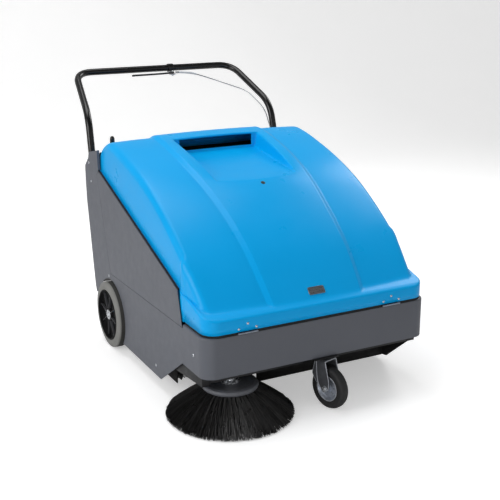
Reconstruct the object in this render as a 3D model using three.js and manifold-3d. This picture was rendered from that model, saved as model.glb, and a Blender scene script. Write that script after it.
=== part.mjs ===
// Walk-behind floor sweeper: painted sheet-metal body, front-hinged moulded hood,
// push handle, two rear wheels, front swivel caster, left side brush, main
// cylindrical brush and a rear pull-out hopper.
// Millimetres, +Z up, wheels standing on Z = 0. The machine faces -Y. Left is -X and right
// is +X, as seen from the front.
import * as THREE from 'three';
import { mergeVertices } from 'three/addons/utils/BufferGeometryUtils.js';
import Module from 'manifold-3d';

const wasm = await Module();
wasm.setup();

// ---------------------------------------------------------------- driving dimensions
// moves the origin to the middle of the overall box
const ORIGIN_X = 25.65;
const ORIGIN_Y = -704.5;

const HALF_WIDTH = 470;         // body half width over the side panels
const SHEET = 3;                // side panel sheet thickness
const SKIRT_TOP = 346;
const SKIRT_BOTTOM = 194;       // under the front face
const SKIRT_CORNER_R = 50;
const SIDE_BOTTOM = 48;         // lower edge of the side panels

// An AXIS is where a centre line crosses: [y, z] along X, or [x, y] along Z.
const WHEEL_R = 140.7;
const WHEEL_WIDTH = 48;
const WHEEL_Y = 922;
const WHEEL_AXIS = [WHEEL_Y, WHEEL_R];
const WHEEL_OUT = 489.7;        // outer face of the wheel
const ARCH_R = 153;

const CASTER_R = 80;
const CASTER_TRAIL = 38;        // from the swivel axis to the axle
const CASTER_X = 18;
const CASTER_Y = 15;
const CASTER_AXIS = [CASTER_X, CASTER_Y];
const CASTER_YAW = 14.5;        // degrees

const SIDE_BRUSH_X = -318;
const SIDE_BRUSH_AXIS = [SIDE_BRUSH_X, 110];
const SIDE_BRUSH_R = 223;
const SIDE_BRUSH_DISC_R = 105;
const ARM_PIVOT = [330, 176];

const MAIN_AXIS = [480, 128];
const MAIN_R = 124;
const MOTOR_AXIS = [560, 330];
const BRUSH_PULLEY_R = 50;
const MOTOR_PULLEY_R = 24;
const TENSIONER_PIVOT = [487, 340];
const IDLER_AXIS = [459, 264];

const HANDLE_R = 15;
const HANDLE_Y = 1503;
const HANDLE_Z = 1092;

const HOOD_HALF_WIDTH = 462;
const HOOD_T = 4;
const HOOD_UNDER = 5.2;         // drop from the hood's top surface to its underside
const HOOD_BOTTOM = 350;
const HOOD_REAR = 1038;
const HINGE_X = 264;            // inner end of the right hinge
const HINGE_AXIS = [-3.4, 349.3];

const FAN_X = -80;
const FAN_Y = 810;
const FAN_AXIS = [FAN_X, FAN_Y];

// ---------------------------------------------------------------- materials
const MATERIALS = {
  grey: { color: 0x6b6e76, roughness: 0.55, metalness: 0.1 },
  black: { color: 0x1c1c1e, roughness: 0.6, metalness: 0.1 },
  blue: { color: 0x00a0ea, roughness: 0.35, metalness: 0 },
  rubber: { color: 0x1a1a1a, roughness: 0.9, metalness: 0 },
  tyre: { color: 0x8c8c88, roughness: 0.85, metalness: 0 },
  steel: { color: 0xb8bcc0, roughness: 0.35, metalness: 0.9 },
  zinc: { color: 0x8a8f96, roughness: 0.4, metalness: 0.8 },
  plastic: { color: 0x202124, roughness: 0.6, metalness: 0 },
  bristle: { color: 0x161618, roughness: 0.8, metalness: 0 },
  battery: { color: 0x2c2f36, roughness: 0.5, metalness: 0 },
  filter: { color: 0xd8d2c0, roughness: 0.95, metalness: 0 },
};

// ---------------------------------------------------------------- solids
function meshOf(positions, index) {
  const geometry = new THREE.BufferGeometry();
  geometry.setAttribute('position', new THREE.Float32BufferAttribute(positions, 3));
  geometry.setIndex(index);
  return geometry;
}

// Welds the vertices, drops collapsed triangles and turns the faces outward.
function tidy(geometry) {
  const bare = geometry.index ? geometry.toNonIndexed() : geometry.clone();
  for (const key of Object.keys(bare.attributes)) {
    if (key !== 'position') bare.deleteAttribute(key);
  }
  const { index, attributes: { position } } = mergeVertices(bare, 1e-3);
  const corner = (i) => new THREE.Vector3().fromBufferAttribute(position, i);
  const kept = [];
  let volume = 0;
  for (let i = 0; i < index.count; i += 3) {
    const [a, b, c] = index.array.slice(i, i + 3);
    if (a === b || b === c || a === c) continue;
    kept.push(a, b, c);
    volume += corner(a).dot(corner(b).cross(corner(c)));
  }
  if (volume < 0) {
    for (let i = 0; i < kept.length; i += 3) [kept[i], kept[i + 1]] = [kept[i + 1], kept[i]];
  }
  return meshOf(position.array, kept);
}

function toSolid(geometry) {
  const { index, attributes: { position } } = tidy(geometry);
  return new wasm.Manifold(new wasm.Mesh({
    numProp: 3,
    vertProperties: new Float32Array(position.array),
    triVerts: new Uint32Array(index.array),
  }));
}

function fromSolid(body) {
  const { vertProperties, triVerts } = body.getMesh();
  return tidy(meshOf(vertProperties, [...triVerts]));
}

const union = (...parts) => fromSolid(parts.map(toSolid).reduce((sum, part) => sum.add(part)));

const cut = (geometry, ...tools) => fromSolid(
  tools.map(toSolid).reduce((rest, tool) => rest.subtract(tool), toSolid(geometry)),
);

function box(xMin, xMax, yMin, yMax, zMin, zMax) {
  const geometry = new THREE.BoxGeometry(xMax - xMin, yMax - yMin, zMax - zMin);
  return geometry.translate((xMin + xMax) / 2, (yMin + yMax) / 2, (zMin + zMax) / 2);
}

const toVectors = (points) => points.map((point) => new THREE.Vector2(...point));

function prism(points, depth, hole) {
  const shape = new THREE.Shape(toVectors(points));
  if (hole) shape.holes.push(new THREE.Path(toVectors(hole)));
  return new THREE.ExtrudeGeometry(shape, { depth, bevelEnabled: false, steps: 1 });
}

// outline in (Y, Z), thickness along X
function prismX(points, xMin, xMax, hole) {
  const axes = ['y', 'z', 'x'].map((axis) => new THREE.Vector3().setComponent('xyz'.indexOf(axis), 1));
  const turn = new THREE.Matrix4().makeBasis(...axes).setPosition(xMin, 0, 0);
  return prism(points, xMax - xMin, hole).applyMatrix4(turn);
}

// outline in (X, Y), thickness along Z
const prismZ = (points, zMin, zMax) => prism(points, zMax - zMin).translate(0, 0, zMin);

// Profile of [radius, distance along the axis], turned round a line along 'x' or 'z'.
// It is closed automatically when it doesn't run from axis to axis.
function lathe(axis, profile, centre, segments) {
  const points = toVectors(profile);
  if (profile[0][0] > 1e-6 || profile.at(-1)[0] > 1e-6) points.push(points[0].clone());
  const geometry = new THREE.LatheGeometry(points, segments);
  if (axis === 'x') return geometry.rotateZ(-Math.PI / 2).translate(0, ...centre);
  return geometry.rotateX(Math.PI / 2).translate(...centre, 0);
}

const rod = (axis, radius, from, to, centre, segments) => lathe(
  axis, [[0, from], [radius, from], [radius, to], [0, to]], centre, segments,
);

const tube = (axis, inner, outer, from, to, centre, segments) => lathe(
  axis, [[inner, from], [outer, from], [outer, to], [inner, to]], centre, segments,
);

// the half profile followed by its reflection in axial distance 0
const symmetric = (half) => [...half, ...half.map(([radius, along]) => [radius, -along]).reverse()];

function arc([x, y], radius, fromDegrees, toDegrees, steps) {
  return Array.from({ length: steps + 1 }, (_, i) => {
    const angle = (fromDegrees + (toDegrees - fromDegrees) * i / steps) * Math.PI / 180;
    return [x + radius * Math.cos(angle), y + radius * Math.sin(angle)];
  });
}

// Closed band of constant thickness on the left of an open polyline, with mitred corners.
function band(points, thickness) {
  const line = toVectors(points);
  const normal = (i) => {
    const run = line[i + 1].clone().sub(line[i]).normalize();
    return new THREE.Vector2(-run.y, run.x);
  };
  const offset = line.map((point, i) => {
    const before = normal(Math.max(0, i - 1));
    const after = normal(Math.min(line.length - 2, i));
    const mitre = before.clone().add(after).normalize();
    // the lower bound keeps a sharp corner from running away
    const reach = thickness / Math.max(0.4, mitre.dot(before));
    return point.clone().addScaledVector(mitre, reach).toArray();
  });
  return [...points, ...offset.reverse()];
}

// Straight runs joined by smooth bends; each inner point has its own setback.
function bentPath(points, setbacks) {
  const path = new THREE.CurvePath();
  const corners = points.map((point) => new THREE.Vector3(...point));
  let start = corners[0];
  setbacks.forEach((setback, i) => {
    const corner = corners[i + 1];
    const towards = (other) => corner.clone().add(other.clone().sub(corner).setLength(setback));
    const enter = towards(corners[i]);
    const leave = towards(corners[i + 2]);
    path.add(new THREE.LineCurve3(start, enter));
    path.add(new THREE.QuadraticBezierCurve3(enter, corner, leave));
    start = leave;
  });
  path.add(new THREE.LineCurve3(start, corners.at(-1)));
  return path;
}

function pipe(extrudePath, radius, steps, sides) {
  const ring = arc([0, 0], radius, 0, 360, sides).slice(0, -1);
  const shape = new THREE.Shape(toVectors(ring));
  return new THREE.ExtrudeGeometry(shape, { steps, bevelEnabled: false, extrudePath });
}

const mirror = (geometry) => tidy(geometry.clone().scale(-1, 1, 1));

// makes a part between two distances from the centre plane, on the left and on the right
const bothSides = (inner, outer, make) => [make(-outer, -inner), make(inner, outer)];
const boxPair = (inner, outer, ...limits) => bothSides(
  inner, outer, (xMin, xMax) => box(xMin, xMax, ...limits),
);

// ---------------------------------------------------------------- scene
const group = new THREE.Group();
group.name = 'floor_sweeper';
const machine = new THREE.Group();
machine.position.set(ORIGIN_X, ORIGIN_Y, 0);
group.add(machine);

function add(name, geometry, material, parent = machine) {
  const surface = tidy(geometry);
  surface.computeVertexNormals();
  const finish = new THREE.MeshStandardMaterial({ ...MATERIALS[material], flatShading: true });
  const mesh = new THREE.Mesh(surface, finish);
  mesh.name = name;
  parent.add(mesh);
}

// adds a right-hand part and its mirror image on the left
function addPair(name, geometry, material) {
  add(`left_${name}`, mirror(geometry), material);
  add(`right_${name}`, geometry, material);
}

// ---------------------------------------------------------------- sheet-metal body
// sloping top edge of the side panels
const panelTop = (y) => 455.5 + 0.3453 * (y - 201);

const wheelArch = rod('x', ARCH_R, -500, 500, WHEEL_AXIS, 36);

// (X, Y) line round the front, parallel to the skirt's outside
function skirtLine(inset, rear) {
  const side = HALF_WIDTH - inset;
  const cornerX = HALF_WIDTH - SKIRT_CORNER_R;
  const radius = SKIRT_CORNER_R - inset;
  return [
    [-side, rear],
    ...arc([-cornerX, SKIRT_CORNER_R], radius, 180, 270, 6),
    ...arc([cornerX, SKIRT_CORNER_R], radius, 270, 360, 6),
    [side, rear],
  ];
}

// one wrap-round sheet: front face, rounded corners and both lower side panels
function lowerSkirt() {
  const ring = (outerInset, innerInset, rear) => [
    ...skirtLine(outerInset, rear), ...skirtLine(innerInset, rear).reverse(),
  ];
  const shell = prismZ(ring(0, SHEET, 960), SIDE_BOTTOM, SKIRT_TOP);
  const lip = prismZ(ring(1, 16, 178), SKIRT_TOP - SHEET, SKIRT_TOP);
  const aboveSides = prismX(
    [[178, 400], [178, 333.2], [184, 332.4], [970, 319.6], [970, 400]], -500, 500,
  );
  const leftNotch = prismX([
    [-10, 20], [394, 20], [394, 49.5], [192, 191], [186, SKIRT_BOTTOM], [-10, SKIRT_BOTTOM],
  ], -500, -300);
  const middleNotch = box(-301, 301, -10, 300, 20, SKIRT_BOTTOM);
  const rightNotch = prismX(
    [[-10, 20], [240, 20], [240, 49.5], [70, SKIRT_BOTTOM], [-10, SKIRT_BOTTOM]], 300, 500,
  );
  const behind = box(-500, 500, 921.4, 980, 20, 400);
  return cut(
    union(shell, lip), aboveSides, leftNotch, middleNotch, rightNotch, wheelArch, behind,
  );
}

// (Y, Z) outlines
const UPPER_PANEL = [[186, 333.6], [921.2, 321.6], [1040.6, 721.5], [1022, 739], [221, 462.4]];
const SEAL_LINE = [[226, 459.1], [1016, 731.9]];
const REAR_PLATE = [
  [923, 250], [1060, 186], [1112, 186], [1122, 210], [1142, 320],
  [1163, 451], [1186, 580], [1190, 660], [1190, 735], [1145, 774],
  [1134, 802.5], [1029, 826], [1024, 741.5], [1042.2, 722], [923, 322.4],
];

// deck, chamfer and leaning back in one folded sheet
function rearCover() {
  const upper = band([
    [1146, 606], [1157, 633], [1177, 714], [1180, 732], [1138, 768], [1126, 797], [1044, 813.5],
  ], 2.5);
  const lower = band(
    [[1146.2, 607.5], [1149, 580], [1139, 455], [1120, 325], [1113, 280]], 2.5,
  );
  const bridge = [[1140, 596], [1148.5, 594], [1153, 621], [1145, 621]];
  const leverSlot = box(-400, -370, 1058, 1122, 780, 830);
  return cut(
    union(prismX(upper, -424, 424), prismX(lower, -466, 466), prismX(bridge, -424, 424)),
    leverSlot,
  );
}

const sidePanel = (outline) => prismX(outline, HALF_WIDTH - SHEET, HALF_WIDTH);
add('lower_skirt', lowerSkirt(), 'grey');
addPair('upper_panel', sidePanel(UPPER_PANEL), 'grey');
// rubber edge strips that the closed hood sits against
addPair(
  'hood_seal',
  prismX(band(SEAL_LINE, 8.2), HALF_WIDTH - 10.5, HALF_WIDTH - SHEET - 0.3),
  'rubber',
);
addPair('rear_plate', cut(sidePanel(REAR_PLATE), wheelArch), 'grey');
add('rear_cover', rearCover(), 'black');

// ---------------------------------------------------------------- welded chassis
function chassisFrame() {
  const leftCheek = [
    [50, 230], [50, 152], [84, 150], [262, 133], [302, 133], [302, 197], [400, 197], [400, 230],
  ];
  const rightCheek = [[50, 230], [50, 160], [302, 160], [302, 197], [400, 197], [400, 230]];
  const archLiner = [
    ...arc(WHEEL_AXIS, ARCH_R + 0.4, 48, 205, 16), ...arc(WHEEL_AXIS, ARCH_R + 3, 205, 48, 16),
  ];
  const axleHole = rod('x', 12, -410, 410, WHEEL_AXIS, 16);
  const axlePlate = (xMin, xMax) => cut(
    box(xMin, xMax, WHEEL_Y - 37, WHEEL_Y + 37, 112, 208), axleHole,
  );
  const armLug = (from, to) => {
    const [xMin, xMax] = [SIDE_BRUSH_X + from, SIDE_BRUSH_X + to];
    return cut(
      box(xMin, xMax, 314, 338, 164, 212), rod('x', 9.5, xMin - 1, xMax + 1, ARM_PIVOT, 12),
    );
  };
  return union(
    box(-432, 432, 8, 58, 194.6, 236),            // front cross tube
    box(-430, -46, 53, 63, 160, 222),
    box(82, 430, 53, 63, 160, 222),
    box(-60, 96, 53, 63, 191, 222),
    prismX(leftCheek, -457, -427),
    prismX(rightCheek, 427, 457),
    ...boxPair(400, 455, 380, 412, 203, 226),
    box(-440, 440, 290, 332, 205, 233),
    ...boxPair(398, 424, 388, 1030, 200, 236),    // long side rails
    box(-420, 420, 628, 660, 233, 270),
    box(-420, 420, 1000, 1024, 233, 262),
    ...boxPair(387.5, 403, 640, 1010, 219, 225.4), // ledges under the hopper flanges
    ...bothSides(400, 406, axlePlate),
    ...bothSides(422, 466, (xMin, xMax) => prismX(archLiner, xMin, xMax)),
    box(-225, 415, 24, 322, 230, 239),            // battery tray
    ...bothSides(34, 40, armLug),
  );
}

// arched cover over the main brush, with end plates and bearing sleeves
function brushHousing() {
  const arch = band([...arc(MAIN_AXIS, 140, 205, 52, 10), [626, 236]], 3);
  const endPlate = (xMin, xMax) => cut(
    union(rod('x', 141.5, xMin, xMax, MAIN_AXIS, 24), box(xMin, xMax, 480, 626, 40, 237)),
    box(xMin - 1, xMax + 1, 300, 700, -20, 40),
    rod('x', 13, xMin - 1, xMax + 1, MAIN_AXIS, 12),
  );
  return union(
    prismX(arch, -397, 397),
    ...bothSides(394, 397, endPlate),
    box(-396, 396, 609, 621, 95, 98),
    ...bothSides(395, 409, (from, to) => tube('x', 12.3, 26, from, to, MAIN_AXIS, 12)),
  );
}

const RIGHT_FLAP = [[62, 190], [62, 165], [231, 25], [262, 20], [745, 20], [745, 190]];

add('chassis_frame', chassisFrame(), 'black');
// rubber flaps that close the brush chamber
add('front_flap', box(-130, 458, 258, 262, 20, 159), 'rubber');
add('right_side_flap', prismX(RIGHT_FLAP, 459.5, 463.5), 'rubber');
add('left_side_flap', box(-416, -412, 365, 745, 32, 190), 'rubber');
add('rear_flap', box(-390, 390, 613, 617, 12, 94), 'rubber');
add('brush_housing', brushHousing(), 'black');

// ---------------------------------------------------------------- handle
function handleTube() {
  const right = [[452, 1118, 636], [442, 1199, 941], [391, HANDLE_Y, HANDLE_Z]];
  const points = [...right.map(([x, y, z]) => [-x, y, z]), ...right.reverse()];
  return pipe(bentPath(points, [60, 62, 62, 60]), HANDLE_R - 0.2, 46, 8);
}
add('handle_tube', handleTube(), 'black');

// ---------------------------------------------------------------- hood
// Moulded shell, hinged at the front lower edge. Tables are [y, value], front to rear.
const RIDGE_Z = [
  [-30, 352], [0, 386], [24, 413], [70, 465], [120, 519], [165, 562],
  [221, 607], [328, 679], [434, 739], [510, 773], [584, 801], [670, 828],
  [763, 852], [850, 872], [900, 880], [930, 883.5], [947, 883], [975, 878],
  [1000, 869], [1020, 859], [HOOD_REAR, 844],
];
// half width of the raised centre
const RIDGE_X = [
  [0, 178], [24, 180], [120, 190], [221, 196], [328, 203],
  [434, 213], [584, 226], [763, 233], [HOOD_REAR, 236],
];
// extra height on the centre line
const CROWN = [[0, 4], [200, 8], [450, 11], [700, 8], [947, 3], [HOOD_REAR, 2]];
const SIDE_SHELF_Z = [[0, 404], [30, 412], [63, 420], [117, 435], [183, 450.5], [202, 454.8]];
const SHELF_WIDTH = [[63, 16], [117, 12], [202, 3]];
const HALF_WIDTHS = [[172, HOOD_HALF_WIDTH], [184, 457.3]];
const FRONT_RISE = [[0, 0], [8, 7], [20, 10]];
// recess in the top: half widths at its rim and floor, and its floor height
const RECESS_RIM_X = [[473, 175], [861, 197]];
const RECESS_FLOOR_X = [[473, 172], [861, 178]];
const RECESS_FLOOR_Z = [[473, 769], [861, 816]];
const HOOD_ROWS = [
  0, 3, 9, 22, 42, 63, 90, 125, 171, 190, 202, 226,
  330, 400, 471, 580, 720, 861, 867, 930, 975, 1012, HOOD_REAR,
];
const CORNER_R = 55;            // front corners in plan
const LIP_R = 7;
const SHOULDER_R = 28;
const SHOULDER_STEP = 26;       // width of the step down beside the raised centre

// straight lines between stations, held level beyond the ends
function interpolate(table, at) {
  if (at <= table[0][0]) return table[0][1];
  for (let i = 1; i < table.length; i++) {
    const [[from, start], [to, end]] = [table[i - 1], table[i]];
    if (at <= to) return start + (at - from) / (to - from) * (end - start);
  }
  return table.at(-1)[1];
}

// fall of a quarter round at a distance in from its edge
function quarterRound(radius, distance) {
  return radius - Math.sqrt(radius ** 2 - (radius - Math.min(radius, distance)) ** 2);
}

function lowerEdge(y) {
  if (y >= 226) return panelTop(y) - 8;
  return interpolate([[190, HOOD_BOTTOM], [226, panelTop(226) - 8]], y);
}

// cosine of the ridge's slope
function slopeCosine(y) {
  const slope = (interpolate(RIDGE_Z, y + 12) - interpolate(RIDGE_Z, y - 12)) / 24;
  return 1 / Math.sqrt(1 + slope ** 2);
}

function hoodTop(x, y) {
  const ridgeX = interpolate(RIDGE_X, y);
  const ridgeZ = interpolate(RIDGE_Z, y);
  if (x <= ridgeX) return ridgeZ + interpolate(CROWN, y) * (1 - (x / ridgeX) ** 2);
  const cosine = slopeCosine(y);
  const step = Math.min(1, (x - ridgeX) / SHOULDER_STEP);
  const fall = Math.min(1, Math.max(0, (x - ridgeX - SHOULDER_STEP) / 190));
  return ridgeZ - 10 / cosine * step - 6 / cosine * fall ** 2;
}

// [x, z] points of the right half of a cross-section, from the side edge to the centre
function halfSection(y) {
  const halfWidth = interpolate(HALF_WIDTHS, y) - quarterRound(CORNER_R, y);
  const shelfWidth = interpolate(SHELF_WIDTH, y);
  const shelfZ = interpolate(SIDE_SHELF_Z, y);
  const onPanel = y > 202;
  const lipZ = onPanel ? panelTop(y) - 1 : shelfZ;
  const lowest = Math.min(lipZ, shelfZ) - LIP_R + interpolate(FRONT_RISE, y);
  const ridgeX = interpolate(RIDGE_X, y);

  const lipPoint = (share) => {
    const fromSide = share * shelfWidth;
    const drop = quarterRound(LIP_R, Math.min(fromSide, y)) * (onPanel ? 0.4 : 1);
    return [halfWidth - fromSide, lipZ - drop];
  };
  const topPoint = (x, fromShoulder = SHOULDER_R) => {
    const drop = quarterRound(SHOULDER_R, fromShoulder) / slopeCosine(y);
    return [x, Math.max(hoodTop(x, y) - drop, lowest)];
  };
  const floorPoint = (x) => {
    if (y <= 470 || y >= 864) return topPoint(x);
    return [x, Math.max(interpolate(RECESS_FLOOR_Z, y), lowest)];
  };
  return [
    ...[0, 0.3, 1].map(lipPoint),
    ...[0.8, 8, 28].map((distance) => topPoint(halfWidth - shelfWidth - distance, distance)),
    topPoint(345),
    topPoint(ridgeX + SHOULDER_STEP),
    topPoint(ridgeX),
    topPoint(Math.min(interpolate(RECESS_RIM_X, y), ridgeX - 20)),
    floorPoint(Math.min(interpolate(RECESS_FLOOR_X, y), ridgeX - 23)),
    floorPoint(0),
  ];
}

// point under a top-surface point; the recess walls get their thickness sideways
function underside([x, y, z]) {
  const fromCentre = Math.abs(x);
  const rearWall = y > 855 && y < 866.5 && fromCentre < 200;
  const sideWall = y > 474 && y < 868 && fromCentre > 150 && fromCentre < 200;
  const front = Math.max(0, 1 - y / 60);
  const rear = Math.max(0, (y - 990) / (HOOD_REAR - 990));
  return [
    x - HOOD_T * x / HOOD_HALF_WIDTH + (sideWall ? Math.sign(x) * HOOD_T : 0),
    y + HOOD_T * front - HOOD_T * rear + (rearWall ? HOOD_T : 0),
    z - HOOD_UNDER,
  ];
}

function hoodShell() {
  const grid = HOOD_ROWS.map((y) => {
    const right = halfSection(y);
    const left = right.map(([x, z]) => [-x, z]);
    return [...left, ...right.slice(0, -1).reverse()].map(([x, z]) => [x, y, z]);
  });
  const rows = [...grid.keys()];
  const columns = [...grid[0].keys()];
  const lastRow = rows.at(-1);
  const lastColumn = columns.at(-1);

  const positions = [];
  const index = [];
  const vertex = (point) => positions.push(...point) / 3 - 1;
  const quad = (a, b, c, d) => index.push(a, b, c, a, c, d);

  const top = grid.map((row) => row.map(vertex));
  const under = grid.map((row) => row.map((point) => vertex(underside(point))));
  for (let i = 0; i < lastRow; i++) {
    for (let j = 0; j < lastColumn; j++) {
      quad(top[i][j], top[i][j + 1], top[i + 1][j + 1], top[i + 1][j]);
      quad(under[i][j], under[i + 1][j], under[i + 1][j + 1], under[i][j + 1]);
    }
  }

  // walls hanging from the border of the grid, once round
  const border = [
    ...columns.map((j) => [0, j]),
    ...rows.slice(1).map((i) => [i, lastColumn]),
    ...columns.slice(0, -1).reverse().map((j) => [lastRow, j]),
    ...rows.slice(1, -1).reverse().map((i) => [i, 0]),
  ];
  const rearEdge = [[425, 806], [452, lowerEdge(HOOD_REAR)]];
  const hemPoint = ([i, j]) => {
    const [x, y, z] = grid[i][j];
    const edge = i === lastRow ? interpolate(rearEdge, Math.abs(x)) : lowerEdge(y);
    return [x, y, Math.min(edge, z - 6)];
  };
  const outerHem = border.map((cell) => vertex(hemPoint(cell)));
  const innerHem = border.map(([i, j]) => {
    const [x, y, z] = underside(grid[i][j]);
    return vertex([x, y, Math.min(hemPoint([i, j])[2], z - 0.8)]);
  });
  border.forEach(([i, j], k) => {
    const next = (k + 1) % border.length;
    const [nextI, nextJ] = border[next];
    quad(top[nextI][nextJ], top[i][j], outerHem[k], outerHem[next]);
    quad(under[i][j], under[nextI][nextJ], innerHem[next], innerHem[k]);
    quad(outerHem[next], outerHem[k], innerHem[k], innerHem[next]);
  });

  const airSlot = box(-168, 168, 850, 880, 825, 869);
  return cut(meshOf(positions, index), airSlot);
}
add('hood_shell', hoodShell(), 'blue');

// Hinge parts, placed by distance from the hinge's inner end.
const hingeRod = (radius, from, to) => rod(
  'x', radius, HINGE_X + from, HINGE_X + to, HINGE_AXIS, 10,
);
const hingeBox = (from, to, ...limits) => box(HINGE_X + from, HINGE_X + to, ...limits);
const hingeBore = hingeRod(1.7, -2, 80);

// leaf on the skirt lip, with the pin fixed in its two knuckles
function fixedLeaf() {
  const bored = cut(
    union(
      hingeBox(0, 77, HINGE_AXIS[0], 14, 346.3, 347.6), hingeRod(3, 0, 24), hingeRod(3, 53, 77),
    ),
    hingeBore,
    hingeBox(24.2, 52.8, -8, 0.4, 344, 354),
  );
  return union(bored, hingeRod(1.7, 0, 24), hingeRod(1.7, 53, 77), hingeRod(1.3, 1, 76));
}

// leaf inside the hood lip
function movingLeaf() {
  return cut(
    union(
      hingeBox(25, 52, HINGE_AXIS[0], 6, 348.2, 349.5),
      hingeRod(3, 25, 52),
      hingeBox(4, 73, 4.6, 6, 350.6, 390),
      hingeBox(25, 52, 4.6, 6, 348.3, 352),
    ),
    hingeBore,
  );
}
addPair('hinge_leaf_fixed', fixedLeaf(), 'zinc');
addPair('hinge_leaf_moving', movingLeaf(), 'zinc');

// ---------------------------------------------------------------- rear wheels
const WHEEL_IN = WHEEL_OUT - WHEEL_WIDTH;
const TYRE = [
  [108.2, WHEEL_IN + 4], [130, WHEEL_IN], [WHEEL_R, WHEEL_IN + 8], [WHEEL_R, WHEEL_OUT - 5],
  [136.5, WHEEL_OUT - 0.4], [127, WHEEL_OUT], [108.2, WHEEL_OUT - 2],
];
const RIM = [
  [12.6, WHEEL_IN + 4], [27, WHEEL_IN + 4], [27, WHEEL_IN + 18], [94, WHEEL_IN + 18],
  [107.6, WHEEL_IN + 5], [107.6, WHEEL_OUT - 2.2], [106.6, WHEEL_OUT - 1.2],
  [101, WHEEL_OUT - 1.2], [94, WHEEL_OUT - 12], [27, WHEEL_OUT - 12],
  [27, WHEEL_OUT - 4], [12.6, WHEEL_OUT - 4],
];
addPair('tyre', lathe('x', TYRE, WHEEL_AXIS, 32), 'tyre');
addPair('rim', lathe('x', RIM, WHEEL_AXIS, 24), 'plastic');
addPair('stub_axle', rod('x', 12.2, 406.5, WHEEL_OUT - 6, WHEEL_AXIS, 16), 'steel');

// ---------------------------------------------------------------- front caster
function casterPlate() {
  const kingPin = [[0, 178.6], [11, 178.6], [11, 182.4], [7, 182.4], [7, 191], [0, 191]];
  return union(
    box(CASTER_X - 51, CASTER_X + 51, -14, 52, 190.2, 193.7),
    tube('z', 9, 25, 187.2, 191, CASTER_AXIS, 20),
    lathe('z', kingPin, CASTER_AXIS, 16),
  );
}

// Swivelling part: origin on the swivel axis, x along the axle, wheel towards -y.
const caster = new THREE.Group();
caster.position.set(...CASTER_AXIS, 0);
caster.rotation.z = CASTER_YAW * Math.PI / 180;
const CASTER_AXLE = [-CASTER_TRAIL, CASTER_R];

function casterFork() {
  const leg = [
    [-36, 186.8], [12, 186.8], [27, 124], [10, 105], [2, 95], [-9, 82], [-22, 73],
    [-38, 69], [-50, 74], [-57, 84], [-58, 100], [-55, 122], [-36, 180],
  ];
  return cut(
    union(
      ...bothSides(25.1, 28.6, (xMin, xMax) => prismX(leg, xMin, xMax)),
      box(-28.6, 28.6, -36.4, 33, 182.8, 186.8),
    ),
    rod('x', 6.4, -40, 40, CASTER_AXLE, 16),
    rod('z', 7.4, 180, 190, [0, 0], 16),
  );
}

// left halves of the [radius, x] profiles
const AXLE_BOLT = [[0, -34], [9, -34], [9, -29], [6, -29]];
const CASTER_TYRE = [[48.4, -17], [68, -19], [77, -14], [CASTER_R, -6]];
const CASTER_RIM = [[6.4, -22], [14, -22], [14, -7], [40, -7], [48, -17]];
const casterTurning = (half, segments) => lathe('x', symmetric(half), CASTER_AXLE, segments);

add('caster_plate', casterPlate(), 'zinc');
machine.add(caster);
add('caster_fork', casterFork(), 'zinc', caster);
add('caster_axle_bolt', casterTurning(AXLE_BOLT, 12), 'steel', caster);
add('caster_tyre', casterTurning(CASTER_TYRE, 28), 'rubber', caster);
add('caster_rim', casterTurning(CASTER_RIM, 18), 'steel', caster);

// ---------------------------------------------------------------- side brush
const sideBrushRod = (radius, from, to, segments) => rod(
  'z', radius, from, to, SIDE_BRUSH_AXIS, segments,
);

function sideBrushArm() {
  const bar = (half, ...limits) => box(SIDE_BRUSH_X - half, SIDE_BRUSH_X + half, ...limits);
  return union(
    bar(26, 68, 322, 165, 171),
    bar(20, 300, 322, 165, 185),
    rod('x', 9, SIDE_BRUSH_X - 30, SIDE_BRUSH_X + 30, ARM_PIVOT, 12),
    bar(20, 318, ARM_PIVOT[0], 170, 182),
  );
}

const SIDE_BRUSH_DISC = [
  [0, 105], [92, 105], [102, 108], [SIDE_BRUSH_DISC_R, 116], [98, 124], [0, 126],
];
const SIDE_BRUSH_BRISTLES = [
  [66, 104.6], [104, 104.6], [SIDE_BRUSH_R, 16], [SIDE_BRUSH_R, 10], [205, 3], [170, 3],
];
add('side_brush_arm', sideBrushArm(), 'black');
add(
  'side_brush_motor',
  union(sideBrushRod(42, 171.4, 262, 20), sideBrushRod(30, 261, 318, 16)),
  'plastic',
);
add('side_brush_hub', union(
  sideBrushRod(36, 126.4, 131, 16), sideBrushRod(20, 130, 158, 16), sideBrushRod(26, 157, 162, 16),
), 'steel');
add('side_brush_disc', lathe('z', SIDE_BRUSH_DISC, SIDE_BRUSH_AXIS, 28), 'plastic');
add('side_brush_bristles', lathe('z', SIDE_BRUSH_BRISTLES, SIDE_BRUSH_AXIS, 32), 'bristle');

// ---------------------------------------------------------------- main brush and its drive
const MAIN_BRISTLES = [[38.4, -380], [MAIN_R, -380], [MAIN_R, 380], [38.6, 380]];

// flanged pulley; the shaft points come first in the profile
function pulley(radius, shaft, centre, segments) {
  const flange = radius + 4;
  return lathe('x', [
    ...shaft, [flange, 427.3], [flange, 429], [radius, 429],
    [radius, 443], [flange, 443], [flange, 444.6], [0, 444.6],
  ], centre, segments);
}

function motorBracket() {
  const plate = [
    [500, 236.4], [600, 236.4], [618, 330], [600, 384], [520, 384], [470, 360], [470, 320],
  ];
  return union(
    cut(prismX(plate, 400, 404), rod('x', 10, 395, 410, MOTOR_AXIS, 16)),
    box(400, 422, 500, 600, 236.3, 240),
    rod('x', 6, 403, 440, TENSIONER_PIVOT, 10),
  );
}

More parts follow.
